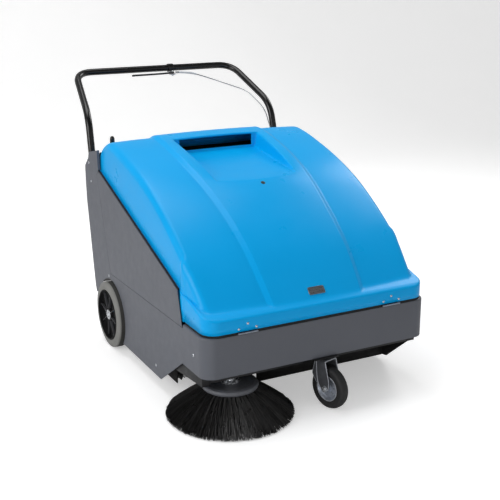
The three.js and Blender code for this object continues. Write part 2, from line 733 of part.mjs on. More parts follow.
// tangent line round both pulleys, a given distance out from the belt's inner face
function beltLine(offset) {
  const [runY, runZ] = [MOTOR_AXIS[0] - MAIN_AXIS[0], MOTOR_AXIS[1] - MAIN_AXIS[1]];
  const degrees = 180 / Math.PI;
  const heading = Math.atan2(runZ, runY) * degrees;
  const ratio = (BRUSH_PULLEY_R - MOTOR_PULLEY_R) / Math.hypot(runY, runZ);
  const wrap = Math.acos(ratio) * degrees;
  const clear = 0.6 + offset;
  return [
    ...arc(MAIN_AXIS, BRUSH_PULLEY_R + clear, heading + wrap, heading + 360 - wrap, 20),
    ...arc(MOTOR_AXIS, MOTOR_PULLEY_R + clear, heading - wrap, heading + wrap, 10),
  ];
}

function tensionerArm() {
  const blade = [
    [481, 336], [484, 346], [491, 347], [495, 341], [468, 262], [462, 256], [454, 258], [452, 266],
  ];
  return cut(
    union(prismX(blade, 444.8, 448.5), rod('x', 5, 428.5, 445.5, IDLER_AXIS, 10)),
    rod('x', 6.4, 440, 452, TENSIONER_PIVOT, 12),
  );
}

add('main_brush_core', union(
  rod('x', 38, -385, 385, MAIN_AXIS, 16), rod('x', 11.5, -410, 427, MAIN_AXIS, 16),
), 'steel');
add('main_brush_bristles', lathe('x', MAIN_BRISTLES, MAIN_AXIS, 28), 'bristle');
add('brush_pulley', pulley(BRUSH_PULLEY_R, [[0, 427.3]], MAIN_AXIS, 22), 'zinc');
add(
  'motor_pulley',
  pulley(MOTOR_PULLEY_R, [[0, 398.6], [8, 398.6], [8, 427.3]], MOTOR_AXIS, 14),
  'zinc',
);
add('brush_motor', rod('x', 48, 230, 398, MOTOR_AXIS, 18), 'plastic');
add('motor_bracket', motorBracket(), 'black');
add('drive_belt', prismX(beltLine(5), 430, 442, beltLine(0)), 'rubber');
add('tensioner_arm', tensionerArm(), 'zinc');
add('tensioner_idler', tube('x', 5.4, 18, 430.5, 441.5, IDLER_AXIS, 20), 'plastic');

// ---------------------------------------------------------------- hopper
function hopper() {
  const inside = box(-382, 382, 640, 1009, 69, 240);
  const mouth = box(-382, 382, 620, 660, 104, 240);
  return cut(
    union(box(-385, 385, 632, 1012, 66, 230), ...boxPair(384, 396, 640, 1010, 226.6, 230)),
    inside, mouth,
  );
}

function hopperHandle() {
  return union(
    cut(box(-75, 75, 1012.4, 1048, 150, 172), box(-61, 61, 1000, 1036, 140, 180)),
    ...boxPair(58, 80, 1012.4, 1016, 140, 182),
  );
}
add('hopper', hopper(), 'plastic');
add('hopper_handle', hopperHandle(), 'black');

// ---------------------------------------------------------------- under the hood
// case with two terminals, placed by its left face
function battery(left) {
  const terminal = (from) => box(left + from, left + from + 25, 190, 215, 447, 458);
  return union(box(left, left + 310, 120, 292, 240, 448), terminal(25), terminal(260));
}

const filterSpace = (inset, zMin, zMax) => box(
  -300 + inset, 160 - inset, 664 + inset, 960 - inset, zMin, zMax,
);
const fanRod = (radius, from, to, segments) => rod('z', radius, from, to, FAN_AXIS, segments);
// box placed by x and y distances from the fan axis
const fanBox = (xMin, xMax, yMin, yMax, zMin, zMax) => box(
  FAN_X + xMin, FAN_X + xMax, FAN_Y + yMin, FAN_Y + yMax, zMin, zMax,
);

function fanHousing() {
  const outlet = fanBox(0, 140, 30, 70, 425, 465);
  return cut(
    fanRod(105, 410.4, 480, 22),
    fanRod(98, 415, 475, 22), fanRod(59, 405, 420, 14), fanRod(16, 470, 485, 12), outlet,
  );
}

function fanImpeller() {
  return union(
    fanRod(88, 424, 428, 16),
    fanRod(12, 425, 486, 12),
    fanBox(-4, 4, -85, 85, 427, 466),
    fanBox(-85, 85, -4, 4, 427, 466),
  );
}

// motor held in a rectangular strap
function fanMotor() {
  return cut(
    union(
      fanRod(48, 488, 560, 16),
      fanBox(-66, 66, -10, 10, 480.4, 484),
      fanBox(-66, -60, -10, 10, 480.4, 520),
      fanBox(60, 66, -10, 10, 480.4, 520),
      fanBox(-66, 66, -8, 8, 516, 520),
    ),
    fanRod(16, 470, 493, 16),
  );
}

add('battery_left', battery(-215), 'battery');
add('battery_right', battery(105), 'battery');
add(
  'filter_box',
  cut(filterSpace(0, 272, 410), filterSpace(4, 260, 404), fanRod(60, 400, 420, 24)),
  'plastic',
);
add('panel_filter', filterSpace(8, 290, 350), 'filter');
add('fan_housing', fanHousing(), 'plastic');
add('fan_impeller', fanImpeller(), 'zinc');
add('fan_motor', fanMotor(), 'plastic');
add('control_box', box(190, 390, 690, 860, 272, 372), 'plastic');

// ---------------------------------------------------------------- handle controls
const CLUTCH_X = 71;
const CLUTCH_Y = 1474;
const CLUTCH_PIVOT = [CLUTCH_X, CLUTCH_Y];
const CONTROL_X = -385;
const CONTROL_Y = 1070;

// clamp on the handle tube, with the clutch lever's pivot pin
function leverBracket() {
  const pin = [
    [0, 1058.6], [6, 1058.6], [6, 1062.6], [3.6, 1062.6],
    [3.6, 1068], [3, 1068], [3, 1080], [0, 1080],
  ];
  return union(
    tube('x', HANDLE_R + 0.5, HANDLE_R + 4, 58, 84, [HANDLE_Y, HANDLE_Z], 12),
    cut(box(60, 82, 1464, 1487.4, 1062, 1068), rod('z', 3.4, 1050, 1075, CLUTCH_PIVOT, 8)),
    box(60, 82, 1484.3, 1487.4, 1062, HANDLE_Z),
    lathe('z', pin, CLUTCH_PIVOT, 8),
  );
}

function clutchLever() {
  // (X, Y) from the pivot
  const blade = [
    [7, 5], [3, 8], [-3, 8], [-22, -6], [-70, -19], [-140, -25], [-205, -25], [-214, -29],
    [-218, -35], [-214, -41], [-205, -42], [-198, -36], [-140, -34], [-68, -28], [-18, -16],
    [4, -9], [9, -3],
  ];
  const outline = blade.map(([x, y]) => [CLUTCH_X + x, CLUTCH_Y + y]);
  return cut(prismZ(outline, 1068.4, 1076.4), rod('z', 3.5, 1060, 1085, CLUTCH_PIVOT, 8));
}

function clutchCable() {
  const path = bentPath([
    [108.5, CLUTCH_Y, 1072], [170, 1470, 1066], [250, 1455, 1040],
    [392, 1330, 985], [423, 1216, 915], [428.6, 1120, 760],
    [429, 900, 560], [429, 640, 420], [446, 512, 352],
  ], [20, 30, 40, 40, 40, 60, 60]);
  return union(pipe(path, 2.6, 44, 5), rod('x', 5.5, 86, 109, [CLUTCH_Y, 1072], 10));
}

function controlLever() {
  const knob = [[0, 822], [8.5, 822], [10, 828], [10, 864], [7, 871], [0, 873]];
  return union(
    rod('z', 6, 706, 824, [CONTROL_X, CONTROL_Y], 10),
    rod('x', 9, CONTROL_X - 8, CONTROL_X + 8, [CONTROL_Y, 700], 12),
    lathe('z', knob, [CONTROL_X, CONTROL_Y], 10),
  );
}

function controlLeverBracket() {
  const plate = (from, to, zMin, zMax) => box(
    CONTROL_X + from, CONTROL_X + to, CONTROL_Y - 20, CONTROL_Y + 20, zMin, zMax,
  );
  return union(plate(-19, -11, 680, 720), plate(11, 19, 680, 720), plate(-19, 19, 676, 682));
}

add('lever_bracket', leverBracket(), 'zinc');
add('clutch_lever', clutchLever(), 'black');
add('clutch_cable', clutchCable(), 'steel');
add('control_lever', controlLever(), 'plastic');
add('control_lever_bracket', controlLeverBracket(), 'black');

export default group;
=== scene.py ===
# A walk-behind floor sweeper: blue hood, grey sheet body, two rear wheels, a front caster,
# a side brush, a roller brush and a bent push handle.
# Pieces are drawn in machine millimetres: X to the right seen from in front, Y rearwards
# from the front face, Z up from the floor. "left" is -X. piece() turns them into metres.
import math
from math import cos, pi, radians, sin

import bmesh
import bpy
import numpy as np
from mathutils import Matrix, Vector
from mathutils.geometry import tessellate_polygon


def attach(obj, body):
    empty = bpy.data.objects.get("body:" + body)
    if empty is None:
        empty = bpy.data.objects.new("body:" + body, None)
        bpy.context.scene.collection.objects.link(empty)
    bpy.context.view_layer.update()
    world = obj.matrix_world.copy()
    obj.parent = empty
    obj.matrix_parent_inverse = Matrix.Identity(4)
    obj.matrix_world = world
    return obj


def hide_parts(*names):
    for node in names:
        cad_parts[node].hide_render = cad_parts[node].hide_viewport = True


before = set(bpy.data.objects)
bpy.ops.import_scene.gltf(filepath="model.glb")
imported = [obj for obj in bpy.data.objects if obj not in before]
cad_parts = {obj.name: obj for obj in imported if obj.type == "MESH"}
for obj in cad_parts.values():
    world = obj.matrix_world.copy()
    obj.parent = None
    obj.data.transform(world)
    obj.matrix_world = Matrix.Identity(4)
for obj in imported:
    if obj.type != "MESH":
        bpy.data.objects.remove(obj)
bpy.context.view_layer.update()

ORIGIN_SHIFT = np.array([25.65, -704.5, 0.0])  # machine origin to scene origin, mm
RNG = np.random.default_rng(11)
SIDES = (("left", -1), ("right", 1))

HALF_WIDTH = 470  # outside of the sheet body
WHEEL_Y, WHEEL_Z = 922, 140.7  # rear axle
ARCH_RADIUS = 153


# ------------------------------------------------------------------ shapes: (vertices, faces)
def arc(centre_x, centre_y, radius, start, end, steps):
    angles = [radians(start + (end - start) * i / steps) for i in range(steps + 1)]
    return [(centre_x + radius * cos(a), centre_y + radius * sin(a)) for a in angles]


def curve(start, corner, end, t):
    """Point on a quadratic curve."""
    return (1 - t) ** 2 * start + 2 * t * (1 - t) * corner + t * t * end


def fillet(outline, radius, steps=5, closed=True):
    """Rounds the corners of a 2D outline. radius is one value or a list, one per corner."""
    rounded, last = [], len(outline) - 1
    for i, point in enumerate(outline):
        corner = np.array(point, float)
        size = radius[i] if isinstance(radius, (list, tuple)) else radius
        if (not closed and i in (0, last)) or size <= 0:
            rounded.append(tuple(corner))
            continue
        back = np.array(outline[i - 1], float) - corner
        ahead = np.array(outline[(i + 1) % (last + 1)], float) - corner
        back_len, ahead_len = np.hypot(*back), np.hypot(*ahead)
        if back_len < 1e-9 or ahead_len < 1e-9:
            continue
        back, ahead = back / back_len, ahead / ahead_len
        angle = math.acos(max(-1, min(1, float(back @ ahead))))
        if angle > pi - 0.06:
            rounded.append(tuple(corner))
            continue
        setback = min(size / math.tan(angle / 2), 0.46 * back_len, 0.46 * ahead_len)
        start, end = corner + back * setback, corner + ahead * setback
        rounded += [tuple(curve(start, corner, end, k / steps)) for k in range(steps + 1)]
    return rounded


def to_3d(axis, across, up, along):
    if axis == "x":
        return along, across, up
    return (across, along, up) if axis == "y" else (across, up, along)


def box(x0, x1, y0, y1, z0, z1):
    verts = [(x, y, z) for z in (z0, z1) for y in (y0, y1) for x in (x0, x1)]
    return verts, [(0, 2, 3, 1), (4, 5, 7, 6), (0, 1, 5, 4), (2, 6, 7, 3), (0, 4, 6, 2), (1, 3, 7, 5)]


def lathe(profile, segments, axis, centre_a, centre_b):
    """profile: (radius, height) points, a closed loop or a run from axis to axis."""
    closed = profile[0][0] > 1e-6 or profile[-1][0] > 1e-6
    verts, faces, rings = [], [], []
    for radius, height in profile:
        ring = []
        for j in range(1 if radius < 1e-6 else segments):
            angle = 2 * pi * j / segments
            ring.append(len(verts))
            verts.append(to_3d(axis, centre_a + radius * cos(angle),
                               centre_b + radius * sin(angle), height))
        rings.append(ring)
    for i in range(len(rings) if closed else len(rings) - 1):
        low, high = rings[i], rings[(i + 1) % len(rings)]
        for j in range(segments):
            k = (j + 1) % segments
            if len(low) == 1 and len(high) == 1:
                continue
            if len(low) == 1:
                faces.append((low[0], high[j], high[k]))
            elif len(high) == 1:
                faces.append((low[j], high[0], low[k]))
            else:
                faces.append((low[j], high[j], high[k], low[k]))
    return verts, faces


def rod(axis, radius, start, end, centre_a, centre_b, segments=32, edge=0.8):
    edge = min(edge, radius * 0.4, abs(end - start) * 0.3)
    profile = [(0, start), (radius - edge, start), (radius - edge * 0.3, start + edge * 0.3),
               (radius, start + edge), (radius, end - edge),
               (radius - edge * 0.3, end - edge * 0.3), (radius - edge, end), (0, end)]
    return lathe(profile, segments, axis, centre_a, centre_b)


def tube(axis, inner, outer, start, end, centre_a, centre_b, segments=32, edge=0.6):
    profile = [(inner + edge, start), (outer - edge, start), (outer, start + edge),
               (outer, end - edge), (outer - edge, end), (inner + edge, end),
               (inner, end - edge), (inner, start + edge)]
    return lathe(profile, segments, axis, centre_a, centre_b)


def prism(outline, start, end, axis, holes=()):
    """Outline given thickness along axis. It lies in (Y, Z) for x, (X, Z) for y, (X, Y) for z."""
    loops = [list(outline)] + [list(hole) for hole in holes]
    flat = [p for loop in loops for p in loop]
    count = len(flat)
    verts = [to_3d(axis, p[0], p[1], along) for along in (start, end) for p in flat]
    if holes:
        tris = tessellate_polygon([[Vector((p[0], p[1], 0)) for p in loop] for loop in loops])
        faces = [tuple(t) for t in tris] + [tuple(count + i for i in reversed(t)) for t in tris]
    else:
        faces = [tuple(range(count)), tuple(reversed(range(count, 2 * count)))]
    first = 0
    for loop in loops:
        size = len(loop)
        for i in range(size):
            a, b = first + i, first + (i + 1) % size
            faces.append((a, b, count + b, count + a))
        first += size
    return verts, faces


def smooth_path(points, setback, steps=8):
    """Straight runs joined by round bends. setback is one value or one per bend."""
    corners = [np.array(p, float) for p in points]
    path = [corners[0]]
    for i in range(1, len(corners) - 1):
        size = setback[i - 1] if isinstance(setback, (list, tuple)) else setback
        back, ahead = corners[i - 1] - corners[i], corners[i + 1] - corners[i]
        size = min(size, np.linalg.norm(back) * 0.49, np.linalg.norm(ahead) * 0.49)
        start = corners[i] + back / np.linalg.norm(back) * size
        end = corners[i] + ahead / np.linalg.norm(ahead) * size
        path += [curve(start, corners[i], end, k / steps) for k in range(steps + 1)]
    path.append(corners[-1])
    return path


def tube_faces(rings, segments, first=0):
    faces = []
    for i in range(rings - 1):
        low, high = first + i * segments, first + (i + 1) * segments
        for j in range(segments):
            k = (j + 1) % segments
            faces.append((low + j, low + k, high + k, high + j))
    return faces


def sweep(path, radius, segments=16, step=None):
    """Capped round bar along a path; step adds rings along long runs."""
    pts = [np.array(p, float) for p in path]
    if step:
        dense = [pts[0]]
        for a, b in zip(pts, pts[1:]):
            parts = max(1, int(np.linalg.norm(b - a) / step))
            dense += [a + (b - a) * (i + 1) / parts for i in range(parts)]
        pts = dense
    verts, count = [], len(pts)
    tangents = [pts[min(i + 1, count - 1)] - pts[max(i - 1, 0)] for i in range(count)]
    tangents = [t / (np.linalg.norm(t) or 1) for t in tangents]
    up = np.array([0, 0, 1.0]) if abs(tangents[0][2]) < 0.9 else np.array([1.0, 0, 0])
    side = np.cross(tangents[0], up)
    side /= np.linalg.norm(side)
    for point, tangent in zip(pts, tangents):
        side = side - tangent * (side @ tangent)
        side /= np.linalg.norm(side)
        other = np.cross(tangent, side)
        for j in range(segments):
            angle = 2 * pi * j / segments
            verts.append(tuple(point + radius * (side * cos(angle) + other * sin(angle))))
    faces = tube_faces(count, segments)
    faces += [tuple(reversed(range(segments))), tuple(range((count - 1) * segments, count * segments))]
    return verts, faces


def join(*shapes):
    verts, faces = [], []
    for shape_verts, shape_faces in shapes:
        first = len(verts)
        verts += [tuple(p) for p in shape_verts]
        faces += [tuple(i + first for i in face) for face in shape_faces]
    return verts, faces


def moved(shape, place):
    return [place(p) for p in shape[0]], shape[1]


def mirrored(shape):
    return [(-x, y, z) for x, y, z in shape[0]], [tuple(reversed(face)) for face in shape[1]]


def band(points, thickness):
    """Outline of a strip of even thickness along an open line."""
    line = [np.array(p, float) for p in points]
    last, offset = len(line) - 1, []
    for i in range(last + 1):
        before = line[i] - line[i - 1] if i else line[1] - line[0]
        after = line[i + 1] - line[i] if i < last else before
        normals = [np.array([-d[1], d[0]]) / np.linalg.norm(d) for d in (before, after)]
        mitre = (normals[0] + normals[1]) / np.linalg.norm(normals[0] + normals[1])
        offset.append(tuple(line[i] + mitre * thickness / max(0.4, float(mitre @ normals[0]))))
    return [tuple(p) for p in line] + offset[::-1]


# ------------------------------------------------------------------ procedural materials
def linear(colour):
    """Linear colour from 0-255 sRGB."""
    unit = [c / 255 for c in colour]
    return tuple(c / 12.92 if c <= 0.04045 else ((c + 0.055) / 1.055) ** 2.4 for c in unit)


def set_inputs(node, values):
    for key, value in values.items():
        node.inputs[key].default_value = value


def make_material(name, colour, rough=0.5, metal=0.0, tone=(0.05, 9.0), gloss=(0.06, 30.0),
                  bump=(0.15, 700.0, 0.0003), detail=3.0, specular=0.5, coat=(0.0, 0.12),
                  stretch=(1, 1, 1), wave=None, speck=None, edge=None, anisotropy=0.0):
    """Noise-driven surface.
    tone, gloss: (spread, noise scale) of brightness and roughness.
    bump: (strength, noise scale, depth in metres); detail is its noise detail.
    coat: (weight, roughness). wave: (depth in metres, noise scale) of a long ripple.
    speck, edge: (amount, colour) laid over in spots, or on convex edges as a painted highlight.
    With colour None each loose strand gets its own near-black tone."""
    mat = bpy.data.materials.new(name)
    mat.use_nodes = True
    nodes, link = mat.node_tree.nodes, mat.node_tree.links.new
    nodes.clear()
    output, surface = nodes.new("ShaderNodeOutputMaterial"), nodes.new("ShaderNodeBsdfPrincipled")
    link(surface.outputs[0], output.inputs[0])
    coords, mapping = nodes.new("ShaderNodeTexCoord"), nodes.new("ShaderNodeMapping")
    link(coords.outputs["Object"], mapping.inputs[0])
    mapping.inputs["Scale"].default_value = stretch

    def noise(scale, noise_detail=4.0, roughness=0.55):
        node = nodes.new("ShaderNodeTexNoise")
        set_inputs(node, {"Scale": scale, "Detail": noise_detail, "Roughness": roughness})
        link(mapping.outputs[0], node.inputs["Vector"])
        return node.outputs["Fac"]

    def remap(source, low, high, from_low=0.3, from_high=0.7):
        node = nodes.new("ShaderNodeMapRange")
        set_inputs(node, {"From Min": from_low, "From Max": from_high,
                          "To Min": low, "To Max": high})
        link(source, node.inputs["Value"])
        return node.outputs[0]

    def overlay(base, mask, tint):
        mix = nodes.new("ShaderNodeMix")
        mix.data_type = "RGBA"
        link(mask, mix.inputs["Factor"])
        link(base, mix.inputs[6])
        mix.inputs[7].default_value = (*linear(tint), 1)
        return mix.outputs[2]

    def add_bump(height, strength, distance):
        node = nodes.new("ShaderNodeBump")
        set_inputs(node, {"Strength": strength, "Distance": distance})
        link(height, node.inputs["Height"])
        return node

    if colour is None:
        strand, tones = nodes.new("ShaderNodeNewGeometry"), nodes.new("ShaderNodeValToRGB")
        dark, light = tones.color_ramp.elements
        dark.position, dark.color = 0.25, (0.004, 0.004, 0.0045, 1)
        light.position, light.color = 1.0, (0.036, 0.035, 0.034, 1)
        link(strand.outputs["Random Per Island"], tones.inputs["Fac"])
        base = tones.outputs["Color"]
    else:
        shade = nodes.new("ShaderNodeHueSaturation")
        shade.inputs["Color"].default_value = (*linear(colour), 1)
        link(remap(noise(tone[1]), 1 - tone[0], 1 + tone[0]), shade.inputs["Value"])
        base = shade.outputs[0]
    if speck:
        spots = noise(bump[1] * 0.6, noise_detail=2.0)
        base = overlay(base, remap(spots, 0, speck[0], from_low=0.62, from_high=0.74), speck[1])
    # convex edges turned lighter: painted highlight
    if edge:
        convex = nodes.new("ShaderNodeNewGeometry").outputs["Pointiness"]
        base = overlay(base, remap(convex, 0, edge[0], from_low=0.53, from_high=0.62), edge[1])
    link(base, surface.inputs["Base Color"])
    link(remap(noise(gloss[1]), max(0.02, rough - gloss[0]), min(1, rough + gloss[0])),
         surface.inputs["Roughness"])
    set_inputs(surface, {"Metallic": metal, "Specular IOR Level": specular,
                         "Coat Weight": coat[0], "Coat Roughness": coat[1],
                         "Anisotropic": anisotropy})
    fine = add_bump(noise(bump[1], detail), strength=bump[0], distance=bump[2])
    if wave:
        ripple = noise(wave[1], noise_detail=1.0, roughness=0.3)
        long_bump = add_bump(ripple, strength=1.0, distance=wave[0])
        link(long_bump.outputs[0], fine.inputs["Normal"])
    link(fine.outputs[0], surface.inputs["Normal"])
    return mat


MAT = {
    "blue": make_material(
        "moulded_blue", (0, 169, 240), rough=0.30, tone=(0.012, 5), gloss=(0.03, 10),
        bump=(0.10, 110, 0.0002), detail=0.0, specular=0.18, wave=(0.0008, 6.0)),
    "grey": make_material(
        "powder_coat_grey", (93, 96, 104), rough=0.48, tone=(0.025, 4), gloss=(0.04, 30),
        bump=(0.14, 420, 0.0002), detail=1.0, specular=0.45, wave=(0.0004, 4.0)),
    # darker copy of the grey powder coat for the front face: painted shade
    "front_shade_grey": make_material(
        "powder_coat_grey_painted_front_shade", (82, 84, 91), rough=0.48, tone=(0.03, 4), gloss=(0.05, 30),
        bump=(0.30, 1100, 0.0002), specular=0.45, wave=(0.0004, 4.0),
        speck=(0.10, (130, 132, 140))),
    "black": make_material(
        "black_gloss_paint", (13, 13, 14), rough=0.24, tone=(0.12, 20),
        bump=(0.14, 600, 0.0002), specular=0.4, coat=(0.15, 0.08)),
    "blacksheet": make_material(
        "black_powder_coat", (24, 24, 26), tone=(0.12, 10), gloss=(0.07, 30),
        bump=(0.32, 900, 0.0003)),
    "plastic": make_material(
        "black_plastic", (26, 26, 28), rough=0.46, tone=(0.14, 18), gloss=(0.08, 30),
        bump=(0.34, 1200, 0.0002)),
    "ribs": make_material(
        "rib_plastic", (70, 71, 74), rough=0.36, tone=(0.12, 18), gloss=(0.08, 30),
        bump=(0.2, 600, 0.0002)),
    "rimblack": make_material(
        "rim_black", (5, 5, 6), rough=0.55, tone=(0.14, 18), gloss=(0.08, 30),
        bump=(0.2, 900, 0.0002), specular=0.12),
    # darker grey for a band laid over the tyre's tread: painted shade from the wheel arch
    "tread_shade": make_material(
        "tyre_tread_painted_shade", (62, 62, 60), rough=0.8, tone=(0.1, 20), bump=(0.5, 500, 0.0005)),
    "boot": make_material(
        "cable_boot", (205, 209, 214), tone=(0.05, 60), bump=(0.2, 400, 0.0002)),
    "knob": make_material(
        "black_knob", (18, 18, 19), rough=0.3, tone=(0.1, 40), bump=(0.1, 900, 0.0003)),
    "rubber": make_material(
        "black_rubber", (17, 17, 17), rough=0.78, tone=(0.2, 25), gloss=(0.1, 30),
        bump=(0.45, 500, 0.0005), speck=(0.12, (60, 58, 55))),
    "tyre": make_material(
        "grey_tyre", (128, 128, 125), rough=0.74, tone=(0.07, 16), gloss=(0.08, 30),
        bump=(0.4, 500, 0.0004), speck=(0.25, (104, 103, 98))),
    "castertyre": make_material(
        "black_tyre", (32, 32, 33), rough=0.66, tone=(0.16, 30), gloss=(0.1, 30),
        bump=(0.35, 700, 0.0003), speck=(0.15, (80, 80, 78))),
    "steel": make_material(
        "bright_steel", (214, 217, 221), rough=0.26, metal=0.82, tone=(0.06, 60),
        gloss=(0.08, 120), bump=(0.12, 900, 0.0001), stretch=(1, 1, 5)),
    "rimsteel": make_material(
        "pressed_rim", (168, 174, 186), rough=0.34, metal=0.6, tone=(0.1, 60),
        gloss=(0.1, 100), bump=(0.15, 500, 0.0001)),
    "brushed": make_material(
        "brushed_aluminium", (190, 194, 200), rough=0.3, metal=1.0, tone=(0.05, 40),
        gloss=(0.1, 300), bump=(0.2, 500, 0.0001), stretch=(0.1, 4, 4), anisotropy=0.4),
    "zinc": make_material(
        "zinc_plate", (160, 166, 176), rough=0.36, metal=0.75, tone=(0.14, 50),
        gloss=(0.12, 80), bump=(0.2, 400, 0.0002)),
    # plated fork steel; its convex edges are painted lighter as a painted highlight
    "fork": make_material(
        "dark_plated_fork", (104, 106, 111), rough=0.36, metal=0.55, tone=(0.12, 40),
        gloss=(0.1, 30), bump=(0.18, 500, 0.0002), edge=(0.5, (170, 175, 182))),
    # lighter copy of the fork steel for its edge ribs and the caster rim beads: painted highlight
    "fork_highlight": make_material(
        "painted_fork_edge_highlight", (176, 180, 187), rough=0.34, metal=0.4, tone=(0.08, 60),
        gloss=(0.08, 30), bump=(0.15, 500, 0.0001)),
    "darksteel": make_material(
        "dark_painted_steel", (44, 45, 48), rough=0.45, metal=0.2, tone=(0.12, 20),
        gloss=(0.08, 30), bump=(0.25, 700, 0.0003)),
    "disc": make_material(
        "brush_disc_plastic", (96, 98, 104), rough=0.42, tone=(0.12, 30), gloss=(0.1, 30),
        bump=(0.3, 700, 0.0003), speck=(0.08, (200, 200, 200))),
    "bristle": make_material(
        "bristle_black", None, rough=0.36, gloss=(0.12, 30), bump=(0.2, 600, 0.0002),
        specular=0.6),
    "bristlecore": make_material(
        "bristle_core", (10, 10, 11), rough=0.9, tone=(0.3, 90), bump=(0.8, 240, 0.002)),
    "battery": make_material(
        "battery_case", (38, 41, 50), rough=0.46, tone=(0.12, 14), gloss=(0.08, 30),
        bump=(0.3, 700, 0.0003)),
    "filter": make_material(
        "filter_media", (214, 206, 186), rough=0.95, tone=(0.08, 30), bump=(0.7, 260, 0.001),
        speck=(0.2, (160, 150, 130))),
    "cable": make_material(
        "cable_sheath", (170, 172, 176), rough=0.34, metal=0.7, tone=(0.12, 80),
        bump=(0.4, 300, 0.0003)),
    "blackcable": make_material(
        "cable_black", (24, 24, 25), rough=0.45, tone=(0.12, 80), bump=(0.3, 300, 0.0003)),
    "belt": make_material(
        "belt_rubber", (22, 22, 23), rough=0.7, tone=(0.2, 50), bump=(0.5, 400, 0.0004)),
    # near-black for strips set into gaps: painted shade
    "gap_shade_black": make_material(
        "painted_gap_shade_black", (8, 8, 8), rough=0.8, tone=(0.2, 50), bump=(0.4, 200, 0.0004)),
}


# ------------------------------------------------------------------ making objects
def tidy(mesh, merge=0.0, fix_normals=True):
    bm = bmesh.new()
    bm.from_mesh(mesh)
    if merge:
        bmesh.ops.remove_doubles(bm, verts=bm.verts, dist=merge / 1000)
        bmesh.ops.dissolve_degenerate(bm, dist=1e-6, edges=bm.edges)
    if fix_normals:
        bmesh.ops.recalc_face_normals(bm, faces=bm.faces)
    bm.to_mesh(mesh)
    bm.free()


def new_object(name, shape):
    verts, faces = shape
    mesh = bpy.data.meshes.new(name)
    placed = (np.array(verts, float) + ORIGIN_SHIFT) / 1000
    mesh.from_pydata([tuple(p) for p in placed], [], faces)
    obj = bpy.data.objects.new(name, mesh)
    bpy.context.scene.collection.objects.link(obj)
    return obj


def shade_smooth(mesh):
    mesh.polygons.foreach_set("use_smooth", [True] * len(mesh.polygons))


def add_bevel(obj, width, segments=2, angle=32):
    bevel = obj.modifiers.new("edge_rounding", "BEVEL")
    bevel.width, bevel.segments = width / 1000, segments
    bevel.limit_method, bevel.angle_limit = "ANGLE", radians(angle)
    bevel.harden_normals = True
    return bevel


def piece(name, shape, body, mat, slot, stands_for=(), smooth=35, bevel=0.0, segments=2,
          solid=0.0, merge=0.0, fix_normals=True):
    """Object that rides on body. smooth is in degrees; bevel, solid and merge are in mm."""
    obj = new_object(name, shape)
    mesh = obj.data
    tidy(mesh, merge, fix_normals)
    mesh.update()
    shade_smooth(mesh)
    if not solid and not bevel:
        mesh.set_sharp_from_angle(angle=radians(smooth))
    mesh.materials.append(MAT[mat])
    if solid:
        shell = obj.modifiers.new("thickness", "SOLIDIFY")
        shell.thickness, shell.offset, shell.use_even_offset = solid / 1000, -1.0, True
    if bevel:
        rounding = add_bevel(obj, bevel, segments)
        rounding.use_clamp_overlap, rounding.miter_outer = True, "MITER_ARC"
    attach(obj, body)
    if stands_for:
        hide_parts(*stands_for)
    return obj


# ------------------------------------------------------------------ hood surface
def spline(table):
    """Monotone cubic through a table of (place, value)."""
    x, y = (np.array(column, float) for column in zip(*table))
    gap = np.diff(x)
    rise = np.diff(y) / gap
    slope = np.zeros_like(x)
    slope[0], slope[-1] = rise[0], rise[-1]
    for i in range(1, len(x) - 1):
        if rise[i - 1] * rise[i] > 0:
            before, after = 2 * gap[i] + gap[i - 1], gap[i] + 2 * gap[i - 1]
            slope[i] = (before + after) / (before / rise[i - 1] + after / rise[i])

    def value_at(place):
        place = float(min(max(place, x[0]), x[-1]))
        i = max(int(min(np.searchsorted(x, place, "right") - 1, len(x) - 2)), 0)
        t = (place - x[i]) / gap[i]
        return float(y[i] * (1 + 2 * t) * (1 - t) ** 2 + slope[i] * gap[i] * t * (1 - t) ** 2
                     + y[i + 1] * t * t * (3 - 2 * t) + slope[i + 1] * gap[i] * t * t * (t - 1))
    return value_at


def lerp(table, place):
    return float(np.interp(place, [row[0] for row in table], [row[1] for row in table]))


# Hood tables: (Y, value)
RIDGE_HEIGHT = [
    (-30, 352), (0, 386), (24, 413), (70, 465), (120, 519), (165, 562), (221, 607), (328, 679),
    (434, 739), (510, 773), (584, 801), (670, 828), (763, 852), (850, 872), (900, 880),
    (930, 883.5), (947, 883), (975, 878), (1000, 869), (1020, 859), (1038, 844)]
RIDGE_X = spline([(0, 178), (24, 180), (120, 190), (221, 196), (328, 203), (434, 213),
                  (584, 226), (763, 233), (1038, 236)])
SHELF_HEIGHT = spline([(0, 404), (30, 412), (63, 420), (117, 435), (183, 450.5), (202, 454.8)])
CROWN = [(0, 4), (200, 8), (450, 11), (700, 8), (947, 3), (1038, 2)]
HOOD_HALF_WIDTH = [(172, 462), (188, 463.6), (211, 463.6), (222, 457.3), (1038, 457.3)]
WALL_INSET = [(0, 16), (63, 16), (117, 12), (202, 3), (1038, 3)]
# share of the recess depth left on its rear wall
REAR_WALL = [(852, 1.0), (857, 1.0), (859.4, 0.995), (860.6, 0.975), (861.4, 0.93), (862.0, 0.86),
             (865.4, 0.115), (865.9, 0.065), (866.6, 0.025), (867.8, 0.006), (870, 0.0)]
WALL_GAP_Y = 862.0  # the rear wall is open behind this station
SHELF_END = 202  # the side shelf and rolled lip stop here
HOOD_END = 1038
CORNER_RADIUS = 55.0  # front corners seen from above
SHOULDER_RADIUS = 28.0


def blurred(values, reach, sigma):
    kernel = np.exp(-0.5 * (np.arange(-reach, reach + 1) / sigma) ** 2)
    kernel /= kernel.sum()
    return np.convolve(np.pad(values, reach, "edge"), kernel, "valid")


